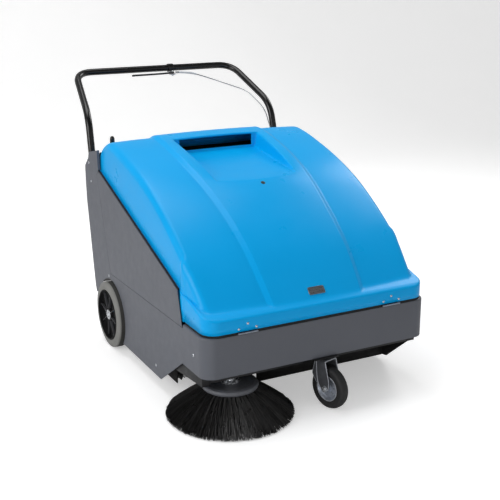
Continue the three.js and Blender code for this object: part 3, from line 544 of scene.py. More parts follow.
def ridge_profile():
    """Ridge line at 1 mm stations, softened more in the middle than at the ends."""
    raw = spline(RIDGE_HEIGHT)
    ys = np.arange(-60, 1070, 1.0)

    def height(y):
        if y < -30:
            return 352 + (y + 30) * 1.13
        return raw(y) if y <= HOOD_END else 844 - (y - HOOD_END) * 0.9

    zs = np.array([height(y) for y in ys])
    share = np.clip((ys - 20) / 60, 0, 1) * np.clip((930 - ys) / 50, 0, 1)
    return ys, blurred(zs, 60, 16.0) * share + blurred(zs, 20, 5.0) * (1 - share)


RIDGE_YS, RIDGE_ZS = ridge_profile()


def ridge_z(y):
    return float(np.interp(y, RIDGE_YS, RIDGE_ZS))


def slope_cos(y):
    slope = (ridge_z(y + 12) - ridge_z(y - 12)) / 24
    return 1 / math.sqrt(1 + slope * slope)


def panel_top(y):
    return 455.5 + 0.3453 * (y - 201)


def edge_z(y):
    """Height of the hood's bottom edge."""
    if y < 186:
        return 355
    if y < 211:
        return 352
    if y < 247:
        return 352 + (y - 211) / 36 * (panel_top(247) - 8 - 352)
    return panel_top(y) - 8


def ramp(t, ends=0.3):
    """0 to 1 with rounded ends."""
    t = min(max(t, 0.0), 1.0)
    scale = 1 / (1 - ends)
    if t < ends:
        return scale * t * t / (2 * ends)
    if t > 1 - ends:
        return 1 - scale * (1 - t) ** 2 / (2 * ends)
    return scale * (t - ends / 2)


def smooth_max(a, b, width):
    blend = max(width - abs(a - b), 0) / width
    return max(a, b) + blend * blend * width / 4


def hood_top(x, y):
    """Crowned top with a step down beside each ridge and a gentle fall beyond."""
    out, ridge, slope = abs(x), RIDGE_X(y), slope_cos(y)
    crown = lerp(CROWN, y) * (1 - min(1.0, out / ridge) ** 2)
    fall = min(1.0, max(0.0, (out - ridge - 20) / 200))
    step = (10 / slope) * ramp((out - ridge + 1) / 25, 0.2)
    return ridge_z(y) + crown - step - (6 / slope) * fall * fall


def recess_widths(y):
    """Half widths of the recess at its rim and floor."""
    t = max(0.0, min(1.0, (y - 473) / 388))
    return 175 + 22 * t, 172 + 6 * t


def recess(x, y):
    """Share of the recess depth reached at a place."""
    if y < 455 or y > 870:
        return 0.0
    rim, floor = recess_widths(y)
    return (1 - ramp((abs(x) - floor + 1.5) / (rim - floor + 5), 0.42)) * lerp(REAR_WALL, y)


def hood_surface(x, y):
    z, share = hood_top(x, y), recess(x, y)
    if share > 0:
        gap = z - (769 + 47 * ((y - 473) / 388))
        gap = 0.5 * (gap + math.sqrt(gap * gap + 9.0))
        z -= share * (gap if gap > 1.6 else max(0.0, gap - 0.9))
    return z


def hood_stations():
    ys = [0, 0.3, 0.9, 1.8, 3.0, 4.6, 7, 9, 11, 13, 15, 17, 19, 21.5, 24, 27, 31, 36, 42, 48, 55]
    ys += list(np.arange(62, 168, 7.5))
    ys += [169, 172, 174, 176, 178, 180, 182, 184, 186, 190, 196, 202]
    for start, end, step in ((211, 455, 9.0), (456, 512, 3.5), (516, 846, 9.5)):
        ys += list(np.arange(start, end, step))
    ys += [row[0] for row in REAR_WALL]
    ys += [874, 880, 888, 897, 907, 917, 927, 936, 944, 952, 960, 967, 974, 981, 988, 995, 1002,
           1008, 1014, 1019, 1024, 1028, 1031.5, 1034, 1036, 1037.3, HOOD_END]
    return sorted(set(float(y) for y in ys))


def top_columns(y, outer):
    """X of the columns from the middle to where the shoulder begins."""
    rim, floor = recess_widths(y)
    ridge = RIDGE_X(y)
    xs = [0, 42, 84, 122, 150, 168, floor - 1.5, floor]
    xs += [floor + (rim + 3.5 - floor) * t for t in (0.12, 0.26, 0.42, 0.58, 0.74, 0.88, 1.0)]
    xs += [ridge + d for d in (-5, -2.2, -0.8, 0.6, 2.2, 4, 7, 12, 17, 20, 22, 24.2, 27)]
    inner = ridge + 27
    xs += [inner + (outer - inner) * t for t in (0.12, 0.27, 0.42, 0.57, 0.72, 0.87, 1.0)]
    # keep the columns in order where the band is narrow
    for i in range(1, len(xs)):
        xs[i] = max(xs[i], xs[i - 1] + 0.05)
    return xs


def hood_half_row(y):
    """(x, z) from the middle out over the shoulder, down the wall and across the shelf."""
    radius, shelved = CORNER_RADIUS, y < SHELF_END
    half = lerp(HOOD_HALF_WIDTH, y)
    if y < radius:
        half -= radius - math.sqrt(max(0.0, radius * radius - (radius - y) ** 2))
    else:
        half -= 0
    inset = lerp(WALL_INSET, y)
    lip_radius = min(7.0, 0.86 * inset)
    if not shelved:
        level = panel_top(y) - 1
    elif y > 172:
        level = SHELF_HEIGHT(y) + 3 * (1 - (y - 172) / 30)
    else:
        level = SHELF_HEIGHT(y) + 3 * ramp(y / 20)

    def lip(x):
        """Fall of the rolled outer edge."""
        depth = min(half - x, y)
        if y < radius and x > 462 - radius:
            depth = radius - math.hypot(x - (462 - radius), radius - y)
        depth = max(0.0, min(depth, lip_radius))
        return lip_radius - math.sqrt(max(0.0, lip_radius ** 2 - (lip_radius - depth) ** 2))

    def front_lip(x):
        return lip(x) if shelved else 0

    row = []
    for x in top_columns(y, half - inset - 29):
        z = hood_surface(x, y)
        row.append((x, smooth_max(z, level, 9) - lip(x) if shelved else z))
    for i in range(9):
        angle = radians(90 - 90 * i / 8)
        x = half - inset - 1 - SHOULDER_RADIUS * (1 - cos(angle))
        drop = SHOULDER_RADIUS * (1 - sin(angle))
        z = hood_surface(x, y) - (drop * 1.15 if y > 1000 else drop / slope_cos(y))
        z = smooth_max(z, level, 7) if shelved else max(z, level)
        row.append((x, z - front_lip(x)))
    wall_top = row[-1][1] + front_lip(row[-1][0])
    for t in (0.75, 0.5, 0.25, 0.08, 0.0):
        x = half - inset - 1 + 0.6 * (1 - t)
        row.append((x, level + t * max(0.0, wall_top - level) - front_lip(x)))
    shelf = [half - inset + t * (inset - lip_radius) for t in (0.35, 0.7)]
    shelf += [half - lip_radius * (1 - sin(radians(90 * i / 5))) for i in range(6)]
    return row + [(x, level - lip(x)) for x in shelf]


def hood_shape():
    ys = hood_stations()
    grid = []
    for y in ys:
        row = hood_half_row(y)
        grid.append([(-x, y, z) for x, z in reversed(row)] + [(x, y, z) for x, z in row[1:]])
    rows, columns = len(grid), len(grid[0])
    verts, faces = [p for row in grid for p in row], []
    open_row = ys.index(WALL_GAP_Y)
    for i in range(rows - 1):
        for j in range(columns - 1):
            if i == open_row and max(abs(grid[i][j][0]), abs(grid[i][j + 1][0])) <= 168.5:
                continue
            a, b = i * columns + j, (i + 1) * columns + j
            faces.append((a, a + 1, b + 1, b))
    # walls from the outer edge down to the hood's bottom edge
    rim = [(0, j) for j in range(columns)] + [(i, columns - 1) for i in range(1, rows)]
    rim += [(rows - 1, j) for j in range(columns - 2, -1, -1)] + [(i, 0) for i in range(rows - 2, 0, -1)]
    above = [i * columns + j for i, j in rim]
    rear_bottom = [(0, 806), (425, 806), (452, edge_z(HOOD_END)), (470, edge_z(HOOD_END))]
    for t in (0.5, 1.0):
        below = []
        for i, j in rim:
            x, y, z = grid[i][j]
            bottom = min(lerp(rear_bottom, abs(x)) if i == rows - 1 else edge_z(y), z - 3)
            below.append(len(verts))
            verts.append((x, y, z + (bottom - z) * t))
        for k in range(len(rim)):
            n = (k + 1) % len(rim)
            faces.append((above[n], above[k], below[k], below[n]))
        above = below
    return verts, faces


# ------------------------------------------------------------------ hood pieces
def build_hood():
    hood = piece("hood_moulding", hood_shape(), "hood", "blue", "blue_plastic", ["hood_shell"],
                 smooth=50, solid=4.0, merge=0.02)
    # open shell: the outside has to face up
    if sum(p.normal.z * p.area for p in hood.data.polygons) < 0:
        hood.data.flip_normals()
    hood.data.set_sharp_from_angle(angle=radians(50))


def build_hinges():
    pin_y, pin_z, length = -3.4, 349.3, 77
    rivets = ((-337, 365), (-302, 382), (-268, 365))  # left side (X, Z)
    dome = [(0, -3.0), (1.6, -2.8), (3.2, -2.0), (4.4, -0.9), (4.8, 0.4), (0, 0.4)]

    def barrel(radius, start, end, segments=20):
        return rod("x", radius, start, end, pin_y, pin_z, segments, 0.3)

    for (side, sign), x0 in zip(SIDES, (-341, 341 - length)):
        fixed = join(box(x0, x0 + length, pin_y, 14, 346.3, 347.6),
                     barrel(3, x0, x0 + 24), barrel(3, x0 + 53, x0 + length),
                     barrel(1.5, x0 - 1, x0 + length + 1, 12))
        piece(f"{side}_hinge_fixed_leaf", fixed, "chassis", "zinc", "zinc",
              [f"{side}_hinge_leaf_fixed"], smooth=40)
        moving = join(barrel(3, x0 + 25, x0 + 52), box(x0 + 25, x0 + 52, pin_y, 6, 348.2, 349.5),
                      box(x0 + 4, x0 + length - 4, 4.6, 6, 350.6, 390))
        piece(f"{side}_hinge_moving_leaf", moving, "hood", "zinc", "zinc",
              [f"{side}_hinge_leaf_moving"], smooth=40)
        for k, (x, z) in enumerate(rivets):
            piece(f"{side}_hinge_rivet_{k + 1}", lathe(dome, 20, "y", -sign * x, z), "hood",
                  "steel", "bright_steel", smooth=50)


def on_hood(y):
    """Point and normal on the hood's middle line."""
    along = (hood_surface(0, y + 6) - hood_surface(0, y - 6)) / 12
    across = (hood_surface(6, y) - hood_surface(-6, y)) / 12
    return Vector((0, y, hood_surface(0, y))), Vector((-across, -along, 1)).normalized()


def upright(shape, origin, normal):
    """Stands a shape on a surface: local x towards +X, local z along the normal."""
    along = Vector((1, 0, 0))
    x_axis = (along - normal * along.dot(normal)).normalized()
    y_axis = normal.cross(x_axis)
    return moved(shape, lambda p: tuple(origin + x_axis * p[0] + y_axis * p[1] + normal * p[2]))


def build_hood_fittings():
    origin, normal = on_hood(44)
    plate = prism(fillet([(-34, -15), (34, -15), (34, 15), (-34, 15)], 6, 6), -1.5, 1.8, "z")
    piece("plain_badge_plate", upright(plate, origin + normal * 0.5, normal), "hood", "brushed",
          "bright_steel", bevel=0.5)
    origin, normal = on_hood(449)
    head = [(0, 3.6), (3.0, 3.4), (5.0, 2.2), (6.0, 0.6), (6.0, -1), (0, -1)]
    washer = [(6, 0.5), (9, 0.3), (9, -1), (6, -1)]
    bolt = join(lathe(head, 24, "z", 0, 0), lathe(washer, 24, "z", 0, 0))
    piece("hood_strap_bolt", upright(bolt, origin, normal), "hood", "darksteel", "dark_steel",
          smooth=45)


# ------------------------------------------------------------------ sheet-metal body
def skirt_shape():
    """Front wrap with a rounded top bend, plus both lower side sheets."""
    side_y, bend = 178.0, 50
    path = [(-HALF_WIDTH, side_y), (-HALF_WIDTH, 130.0)]
    path += arc(-HALF_WIDTH + bend, bend, bend, 180, 270, 14)
    path += [(-200, 0.0), (0, 0.0), (200, 0.0)]
    path += arc(HALF_WIDTH - bend, bend, bend, 270, 360, 14)
    path += [(HALF_WIDTH, 130.0), (HALF_WIDTH, side_y)]
    # section: (distance inwards, Z)
    section = [(0, 194.0), (0, 340.0)]
    section += [(6 - 6 * cos(radians(a)), 340 + 6 * sin(radians(a))) for a in (15, 30, 45, 60, 75, 90)]
    section += [(16, 346)]
    verts, faces = [], []
    last, size = len(path) - 1, len(section)
    for i, (x, y) in enumerate(path):
        if i in (0, last):
            ahead = np.array([0.0, -1.0 if i == 0 else 1.0])
        else:
            ahead = np.array(path[i + 1]) - np.array(path[i - 1])
            ahead = ahead / np.linalg.norm(ahead)
        verts += [(x - ahead[1] * inwards, y + ahead[0] * inwards, z) for inwards, z in section]
    for i in range(last):
        for j in range(size - 1):
            a, b = i * size + j, (i + 1) * size + j
            faces.append((a, b, b + 1, a + 1))
    # side sheets in (Y, Z), cut out over the wheel
    sheet = [(178, 194), (178, 333.2), (184, 332.4), (921.4, 320.3)]
    sheet += arc(WHEEL_Y, WHEEL_Z, ARCH_RADIUS, 90.22, 217.3, 26)
    left = sheet + [(396, 48), (394, 49.5), (192, 191), (186, 194)]
    right = [(70, 194)] + sheet + [(242, 48), (240, 49.5)]
    first = len(verts)
    verts += [(-HALF_WIDTH, y, z) for y, z in left]
    faces.append(tuple(range(first, len(verts))))
    first = len(verts)
    verts += [(HALF_WIDTH, y, z) for y, z in right]
    faces.append(tuple(reversed(range(first, len(verts)))))
    return verts, faces


def build_skirt():
    skirt = piece("lower_skirt_sheet", skirt_shape(), "chassis", "grey", "grey_paint",
                  ["lower_skirt"], merge=0.05, solid=3.0, bevel=0.7, fix_normals=False)
    tidy(skirt.data)
    front = max(skirt.data.polygons, key=lambda p: p.area if abs(p.normal.y) > 0.9 else 0)
    if front.normal.y > 0:
        skirt.data.flip_normals()
    # black strip on the skirt's top flange under the hood lip: painted shade in the gap
    bend_x, bend_y, outer, inner = 407, 55, 53.5, 46.5
    gap_shade_outline = [(-460.5, 180)] + arc(-bend_x, bend_y, outer, 180, 270, 14)
    gap_shade_outline += arc(bend_x, bend_y, outer, 270, 360, 14) + [(460.5, 180), (453.5, 180)]
    gap_shade_outline += arc(bend_x, bend_y, inner, 360, 270, 14) + arc(-bend_x, bend_y, inner, 270, 180, 14)
    gap_shade_outline += [(-453.5, 180)]
    piece("front_gap_shade_strip", prism(gap_shade_outline, 342, 354.2, "z"), "chassis", "gap_shade_black", "rubber", bevel=0.5)


def build_side_plates():
    sheets = (("left", -HALF_WIDTH, -HALF_WIDTH + 3), ("right", HALF_WIDTH - 3, HALF_WIDTH))
    panel = fillet([(186, 333.6), (921.2, 321.6), (1040.6, 721.5), (1022, 739), (221, 462.4)],
                   [1.5, 1.5, 4, 4, 6], 4)
    for side, x0, x1 in sheets:
        piece(f"{side}_side_panel", prism(panel, x0, x1, "x"), "chassis", "grey", "grey_paint",
              [f"{side}_upper_panel"], bevel=0.8, segments=3)
    arch = [(923, 293.7)] + arc(WHEEL_Y, WHEEL_Z, ARCH_RADIUS, 89.4, 17.3, 16)[1:]
    # (Y, Z, corner radius) up the back and round to the panel's edge
    corners = [(1112, 186, 4), (1122, 210, 10), (1142, 320, 40), (1163, 451, 60), (1186, 580, 60),
               (1190, 660, 40), (1190, 735, 14), (1145, 774, 10), (1134, 802.5, 8), (1029, 826, 3),
               (1024, 741.5, 3), (1042.2, 722, 3), (923, 322.4, 1)]
    rear = fillet(arch + [row[:2] for row in corners],
                  [0] * len(arch) + [row[2] for row in corners], 4)
    for side, x0, x1 in sheets:
        piece(f"{side}_rear_side_plate", prism(rear, x0, x1, "x"), "chassis", "grey",
              "grey_paint", [f"{side}_rear_plate"], bevel=0.8, segments=3)


def build_folds_seals_and_gap_shade():
    fold = prism([(1029, 826), (1033, 826), (1028, 744), (1024, 744)], -467.2, -458.6, "x")
    # black strips behind the panel seam and the rear plate's front edge: painted shade in the gaps
    flat_seam = box(-466.9, -463.5, 186, 921, -5, 5)
    seam = moved(flat_seam, lambda p: (p[0], p[1], p[2] + 333.0 - (p[1] - 184.6) * (12.0 / 736.6)))
    back = prism([(917, 290), (926, 290), (926, 322), (1047, 722), (1028, 743), (1018, 738),
                  (1034, 722), (917, 326)], -466.9, -463.5, "x")
    seam_gap_shade_strips = join(seam, back)
    strip = prism(band([(226, 459.1), (1016, 731.9)], 8.2), -466.6, -459.8, "x")
    for side, sign in SIDES:
        piece(f"{side}_plate_fold", fold if sign < 0 else mirrored(fold), "chassis", "grey",
              "grey_paint", bevel=0.6)
        piece(f"{side}_seam_gap_shade", seam_gap_shade_strips if sign < 0 else mirrored(seam_gap_shade_strips), "chassis",
              "gap_shade_black", "rubber", smooth=30)
    # black rubber seal along each panel's top edge; it stands a little above the edge so its black also
    # gives the shade in the gap under the hood: partly painted shade
    for side, sign in SIDES:
        piece(f"{side}_edge_seal", strip if sign < 0 else mirrored(strip), "chassis", "rubber",
              "rubber", [f"{side}_hood_seal"], bevel=1.6, segments=3)


def build_rear_cover():
    sheet, deck_half = 2.5, 424
    deck_line = fillet([(1146, 606), (1157, 633), (1177, 714), (1180, 732), (1138, 768),
                        (1126, 797), (1044, 813.5)], [0, 30, 20, 12, 10, 10, 0], closed=False)
    back_line = fillet([(1113, 280), (1120, 325), (1139, 455), (1149, 580), (1146.2, 607.5)],
                       [0, 60, 60, 30, 0], 6, closed=False)
    deck = piece("rear_deck_sheet", prism(band(deck_line, sheet), -deck_half, deck_half, "x"),
                 "chassis", "blacksheet", "black_paint", ["rear_cover"])
    joint = prism([(1140, 596), (1148.5, 594), (1153, 621), (1145, 621)], -deck_half, deck_half, "x")
    piece("rear_back_sheet", join(prism(band(back_line, sheet), -466, 466, "x"), joint),
          "chassis", "blacksheet", "black_paint", ["rear_cover"], bevel=0.7)
    # the control lever's slot in the deck
    cutter = new_object("slot_cutter", box(-400, -370, 1058, 1122, 780, 830))
    cut = deck.modifiers.new("lever_slot", "BOOLEAN")
    cut.operation, cut.object, cut.solver = "DIFFERENCE", cutter, "EXACT"
    bpy.context.view_layer.update()
    depsgraph = bpy.context.evaluated_depsgraph_get()
    slotted = bpy.data.meshes.new_from_object(deck.evaluated_get(depsgraph))
    deck.modifiers.clear()
    deck.data = slotted
    add_bevel(deck, 0.7)
    bpy.data.objects.remove(cutter)
    deck.data.set_sharp_from_angle(angle=radians(35))
    lip = fillet([(-399, 1059), (-371, 1059), (-371, 1121), (-399, 1121)], 6)
    lip = [(x, y, 813.5 + (1044 - y) * 0.2012 + 2.0) for x, y in lip + lip[:1]]
    piece("lever_slot_edging", sweep(lip, 2.0, 8), "chassis", "rubber", "rubber", smooth=60)


def screw(name, sign, y, z, radius):
    """Pan-head screw with a cross recess on a side sheet."""
    head = lathe([(0, 2.6), (radius * 0.45, 2.5), (radius * 0.8, 1.8), (radius, 0.7),
                  (radius, -0.5), (0, -0.5)], 24, "z", 0, 0)
    arm = radius * 0.55
    cross = join(box(-arm, arm, -0.5, 0.5, 2.2, 2.75), box(-0.5, 0.5, -arm, arm, 2.2, 2.75))

    def place(p):
        return sign * HALF_WIDTH + sign * p[2], y + p[0], z + p[1]

    piece(name, moved(head, place), "chassis", "steel", "bright_steel", smooth=45)
    piece(name + "_recess", moved(cross, place), "chassis", "darksteel", "dark_steel", smooth=30)


def build_screws():
    # name, Y, Z, head radius
    screws = (("screw_lower", 441, 90, 6.0), ("screw_front", 90, 262, 6.0),
              ("screw_seam", 943, 305, 5.0), ("screw_rear", 1117, 679, 4.5),
              ("handle_bolt_high", 1137, 756, 5.5))
    for side, sign in SIDES:
        for name, y, z, radius in screws:
            screw(f"{side}_{name}", sign, y, z, radius)


# loaded pieces kept as they are, with fine edges: node, material, slot, bevel width
KEPT_PIECES = (
    ("front_flap", "rubber", "rubber", 1.0),
    ("right_side_flap", "rubber", "rubber", 1.0),
    ("left_side_flap", "rubber", "rubber", 1.0),
    ("rear_flap", "rubber", "rubber", 1.0),
    ("chassis_frame", "blacksheet", "black_paint", 1.5),
    ("brush_housing", "blacksheet", "black_paint", 0.8),
    ("motor_bracket", "blacksheet", "black_paint", 0.8),
    ("drive_belt", "belt", "drive_belt", 1.0),
    ("tensioner_arm", "zinc", "zinc", 0.6),
    ("tensioner_idler", "plastic", "zinc", 0.6),
    ("hopper", "plastic", "grey_paint", 1.2),
    ("hopper_handle", "plastic", "black_plastic", 3.0),
    ("battery_left", "battery", "battery_case", 3.0),
    ("battery_right", "battery", "battery_case", 3.0),
    ("control_box", "plastic", "black_plastic", 3.0),
    ("filter_box", "plastic", "black_plastic", 2.0),
    ("fan_housing", "plastic", "black_plastic", 1.0),
    ("fan_impeller", "zinc", "dark_steel", 0.5),
    ("fan_motor", "darksteel", "dark_steel", 1.5),
    ("control_lever_bracket", "zinc", "zinc", 0.6),
    ("side_brush_arm", "darksteel", "dark_steel", 1.2),
    ("side_brush_motor", "darksteel", "dark_steel", 1.5),
    ("brush_motor", "darksteel", "dark_steel", 1.5),
    ("main_brush_core", "zinc", "zinc", 0.6),
    ("brush_pulley", "zinc", "zinc", 0.4),
    ("motor_pulley", "zinc", "zinc", 0.4),
    ("caster_plate", "blacksheet", "zinc", 0.6),
    ("left_stub_axle", "steel", "zinc", 1.0),
    ("right_stub_axle", "steel", "zinc", 1.0),
)


def finish_kept_pieces():
    for node, mat, slot, width in KEPT_PIECES:
        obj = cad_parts[node]
        obj.data.materials.clear()
        obj.data.materials.append(MAT[mat])
        shade_smooth(obj.data)
        weld = obj.modifiers.new("weld", "WELD")
        weld.merge_threshold = 0.00002
        add_bevel(obj, width, angle=35)


# ------------------------------------------------------------------ handle and levers
BAR_Y, BAR_Z = 1503, 1092  # handle crossbar
LEVER_X, LEVER_Y = 71, 1474  # clutch lever pivot
CONTROL_X, CONTROL_Y = -385, 1070


def build_handle():
    corners = [(-452, 1118, 636), (-442, 1199, 941), (-391, BAR_Y, BAR_Z),
               (391, BAR_Y, BAR_Z), (442, 1199, 941), (452, 1118, 636)]
    path = smooth_path(corners, [70, 78, 78, 70], 14)
    piece("bent_handle_tube", sweep(path, 15.0, 28, step=40), "chassis", "black", "black_paint",
          ["handle_tube"], smooth=50)
    for side, sign in SIDES:
        # clamps at the tube's lower end
        for k, (y, z) in enumerate(((1124, 660), (1141, 724))):
            plate = fillet([(y - 24, z - 9), (y + 24, z - 9), (y + 24, z + 9), (y - 24, z + 9)], 4)
            piece(f"{side}_handle_clamp_{k + 1}", prism(plate, sign * 466.5, sign * 463.5, "x"),
                  "chassis", "blacksheet", "black_paint", bevel=0.6)


def build_clutch_lever():
    piece("lever_clamp_band", tube("x", 15.3, 19.4, 58, 84, BAR_Y, BAR_Z, 40), "chassis",
          "black", "black_paint", ["lever_bracket"], bevel=0.6)
    tongue = join(box(60, 82, 1464, 1487.4, 1062, 1068), box(60, 82, 1483.0, 1487.4, 1062, 1079))
    piece("lever_clamp_tongue", tongue, "chassis", "steel", "bright_steel", bevel=0.6)
    pin = [(0, 1057.4), (3.5, 1057.4), (6, 1059), (6, 1062), (3.1, 1062.6), (3.1, 1078.6),
           (5.4, 1078.8), (5.4, 1081), (3.4, 1082.4), (0, 1082.4)]
    piece("lever_pivot_pin", lathe(pin, 24, "z", LEVER_X, LEVER_Y), "chassis", "steel",
          "bright_steel", smooth=45)
    # (X, Y) from the pivot, corner radius
    blade = [(7, 5, 3), (3, 8, 3), (-3, 8, 3), (-22, -6, 14), (-70, -19, 40), (-140, -25, 60),
             (-205, -25, 8), (-214, -29, 5), (-218, -35, 5), (-214, -41, 5), (-205, -42, 5),
             (-198, -36, 8), (-140, -34, 60), (-68, -28, 40), (-18, -16, 14), (4, -9, 4),
             (9, -3, 4)]
    outline = fillet([(LEVER_X + x, LEVER_Y + y) for x, y, _ in blade], [row[2] for row in blade])
    piece("clutch_lever_blade", prism(outline, 1068.4, 1076.4, "z"), "clutch_lever", "plastic",
          "black_plastic", ["clutch_lever"], bevel=2.4, segments=4)


def build_clutch_cable():
    cable = smooth_path(
        [(108.5, LEVER_Y, 1072), (170, 1470, 1066), (250, 1455, 1040), (392, 1330, 985),
         (423, 1216, 915), (428.6, 1120, 760), (429, 900, 560), (429, 640, 420), (446, 512, 352)],
        [20, 30, 40, 40, 40, 60, 60])
    piece("clutch_cable_outer", sweep(cable, 2.6, 12, step=25), "chassis", "cable", "cable",
          ["clutch_cable"], smooth=60)
    boot = [(104, LEVER_Y, 1072)] + [p for p in cable if p[0] < 196]
    piece("cable_boot", sweep(boot, 5.0, 14), "chassis", "boot", "cable", smooth=60)
    adjuster = [(0, 86), (4.2, 86), (5.5, 87), (5.5, 95), (4.0, 95.4), (4.0, 97), (5.5, 97.4),
                (5.5, 101), (3.6, 101.4), (3.6, 107), (3.0, 109), (0, 109)]
    piece("cable_adjuster", lathe(adjuster, 6, "x", LEVER_Y, 1072), "chassis", "steel",
          "bright_steel", smooth=25)


def build_control_lever():
    stem = join(rod("z", 6, 706, 826, CONTROL_X, CONTROL_Y, 24),
                rod("x", 9, CONTROL_X - 8, CONTROL_X + 8, CONTROL_Y, 700, 24))
    piece("control_rod", stem, "control_lever", "steel", "black_plastic", ["control_lever"],
          smooth=40)
    knob = fillet([(0, 822), (8.0, 822), (10.2, 830), (10.0, 862), (6.5, 871.5), (0, 873)],
                  [0, 2, 5, 6, 4, 0], closed=False)
    piece("control_knob", lathe(knob, 32, "z", CONTROL_X, CONTROL_Y), "control_lever", "knob",
          "black_plastic", smooth=50)


# ------------------------------------------------------------------ rear wheels
TYRE_RADIUS = WHEEL_Z  # the tyre stands on the floor
TYRE_OUT, TYRE_IN = 489.7, 441.7  # X of the right tyre's faces


def wheel_ribs():
    """Eight radial ribs on the outer face; their tops slope outwards to the hub."""
    ribs = []
    for k in range(8):
        turn = radians(k * 45 + 12)
        verts, faces = prism([(29, 1.2), (98, 0.9), (98, -0.9), (29, -1.2)], 0, 1, "x")
        out = []
        for level, radial, across in verts:
            x = TYRE_OUT - 14 if level < 0.5 else TYRE_OUT - 2.6 - 1.6 * (radial - 30) / 74
            out.append((x, WHEEL_Y + radial * cos(turn) - across * sin(turn),
                        WHEEL_Z + radial * sin(turn) + across * cos(turn)))
        ribs.append((out, faces))
    return join(*ribs)


def build_wheels():
    """Profiles are (radius, X) for the right wheel."""
    inn, out = TYRE_IN, TYRE_OUT

    def turned(profile, segments):
        return lathe(profile, segments, "x", WHEEL_Y, WHEEL_Z)

    tyre = fillet([(108.2, inn + 4), (130, inn), (TYRE_RADIUS, inn + 8), (TYRE_RADIUS, out - 5),
                   (137, out - 1.5), (122, out + 2.2), (108.2, out + 2.6)],
                  [1, 5, 5, 5, 3, 14, 1.2], 7)
    # thin darker band over the tread, just outside the tyre: painted shade from the wheel arch
    tread_shade = fillet([(139, inn + 12), (140.95, inn + 12), (140.95, out - 9), (139, out - 9)],
                   [0, 0.6, 0.6, 0], 3)
    rim = fillet([(12.6, inn + 4), (27, inn + 4), (27, inn + 18), (94, inn + 18),
                  (108.0, inn + 4), (108.2, out + 2.4), (106.8, out + 4.6), (102.4, out + 4.6),
                  (96, out - 13), (32, out - 13), (27, out - 4), (12.6, out - 4)],
                 [1, 2, 5, 10, 2, 1.0, 1.8, 2.2, 8, 5, 2, 1])
    ring = fillet([(12.0, out - 6), (21, out - 6), (21, out - 2.6), (18.5, out - 1.0),
                   (14.5, out - 1.0), (12.0, out - 2.6)], [0.5, 0.5, 1, 1, 1, 1], 4)
    plug = fillet([(0, out - 3.6), (10, out - 4.2), (12.4, out - 5.0), (12.4, out - 8),
                   (0, out - 8)], [0, 1, 1, 0.5, 0], 4, closed=False)
    pin = fillet([(0, out - 0.6), (3.4, out - 1.0), (4.6, out - 2.2), (4.6, out - 6),
                  (0, out - 6)], [0, 1, 0.6, 0.4, 0], 4, closed=False)
    nut = [(0, out - 2.2), (8.2, out - 2.2), (8.2, out - 3.0), (4, out - 5), (0, out - 5)]
    for side, sign in SIDES:
        def wheel_part(name, shape, mat, slot, *stands_for, **options):
            piece(f"{side}_{name}", shape if sign > 0 else mirrored(shape), f"{side}_wheel",
                  mat, slot, stands_for, **options)

        wheel_part("wheel_tyre", turned(tyre, 120), "tyre", "grey_tyre", f"{side}_tyre", smooth=50)
        wheel_part("tyre_tread_painted_shade", turned(tread_shade, 120), "tread_shade", "grey_tyre", smooth=50)
        wheel_part("wheel_rim", turned(rim, 120), "rimblack", "black_paint", f"{side}_rim",
                   smooth=40)
        wheel_part("wheel_ribs", wheel_ribs(), "ribs", "black_paint", bevel=0.5)
        wheel_part("hub_ring", turned(ring, 56), "steel", "bright_steel", smooth=45)
        wheel_part("hub_plug", turned(plug, 40), "plastic", "black_paint", smooth=45)
        wheel_part("axle_end", join(turned(pin, 24), turned(nut, 6)), "steel", "bright_steel")


# ------------------------------------------------------------------ front caster
SWIVEL_X, SWIVEL_Y, SWIVEL_YAW = 18, 15, 14.5
TRAIL, CASTER_RADIUS = 38, 80  # the caster wheel's axle lies this far from the swivel


def in_caster(shape):
    """Caster's own frame (X, Y from the swivel) to the machine's."""
    c, s = cos(radians(SWIVEL_YAW)), sin(radians(SWIVEL_YAW))
    return moved(shape, lambda p: (SWIVEL_X + p[0] * c - p[1] * s,
                                   SWIVEL_Y + p[0] * s + p[1] * c, p[2]))


def caster_lathe(profile, segments):
    return lathe(profile, segments, "x", -TRAIL, CASTER_RADIUS)


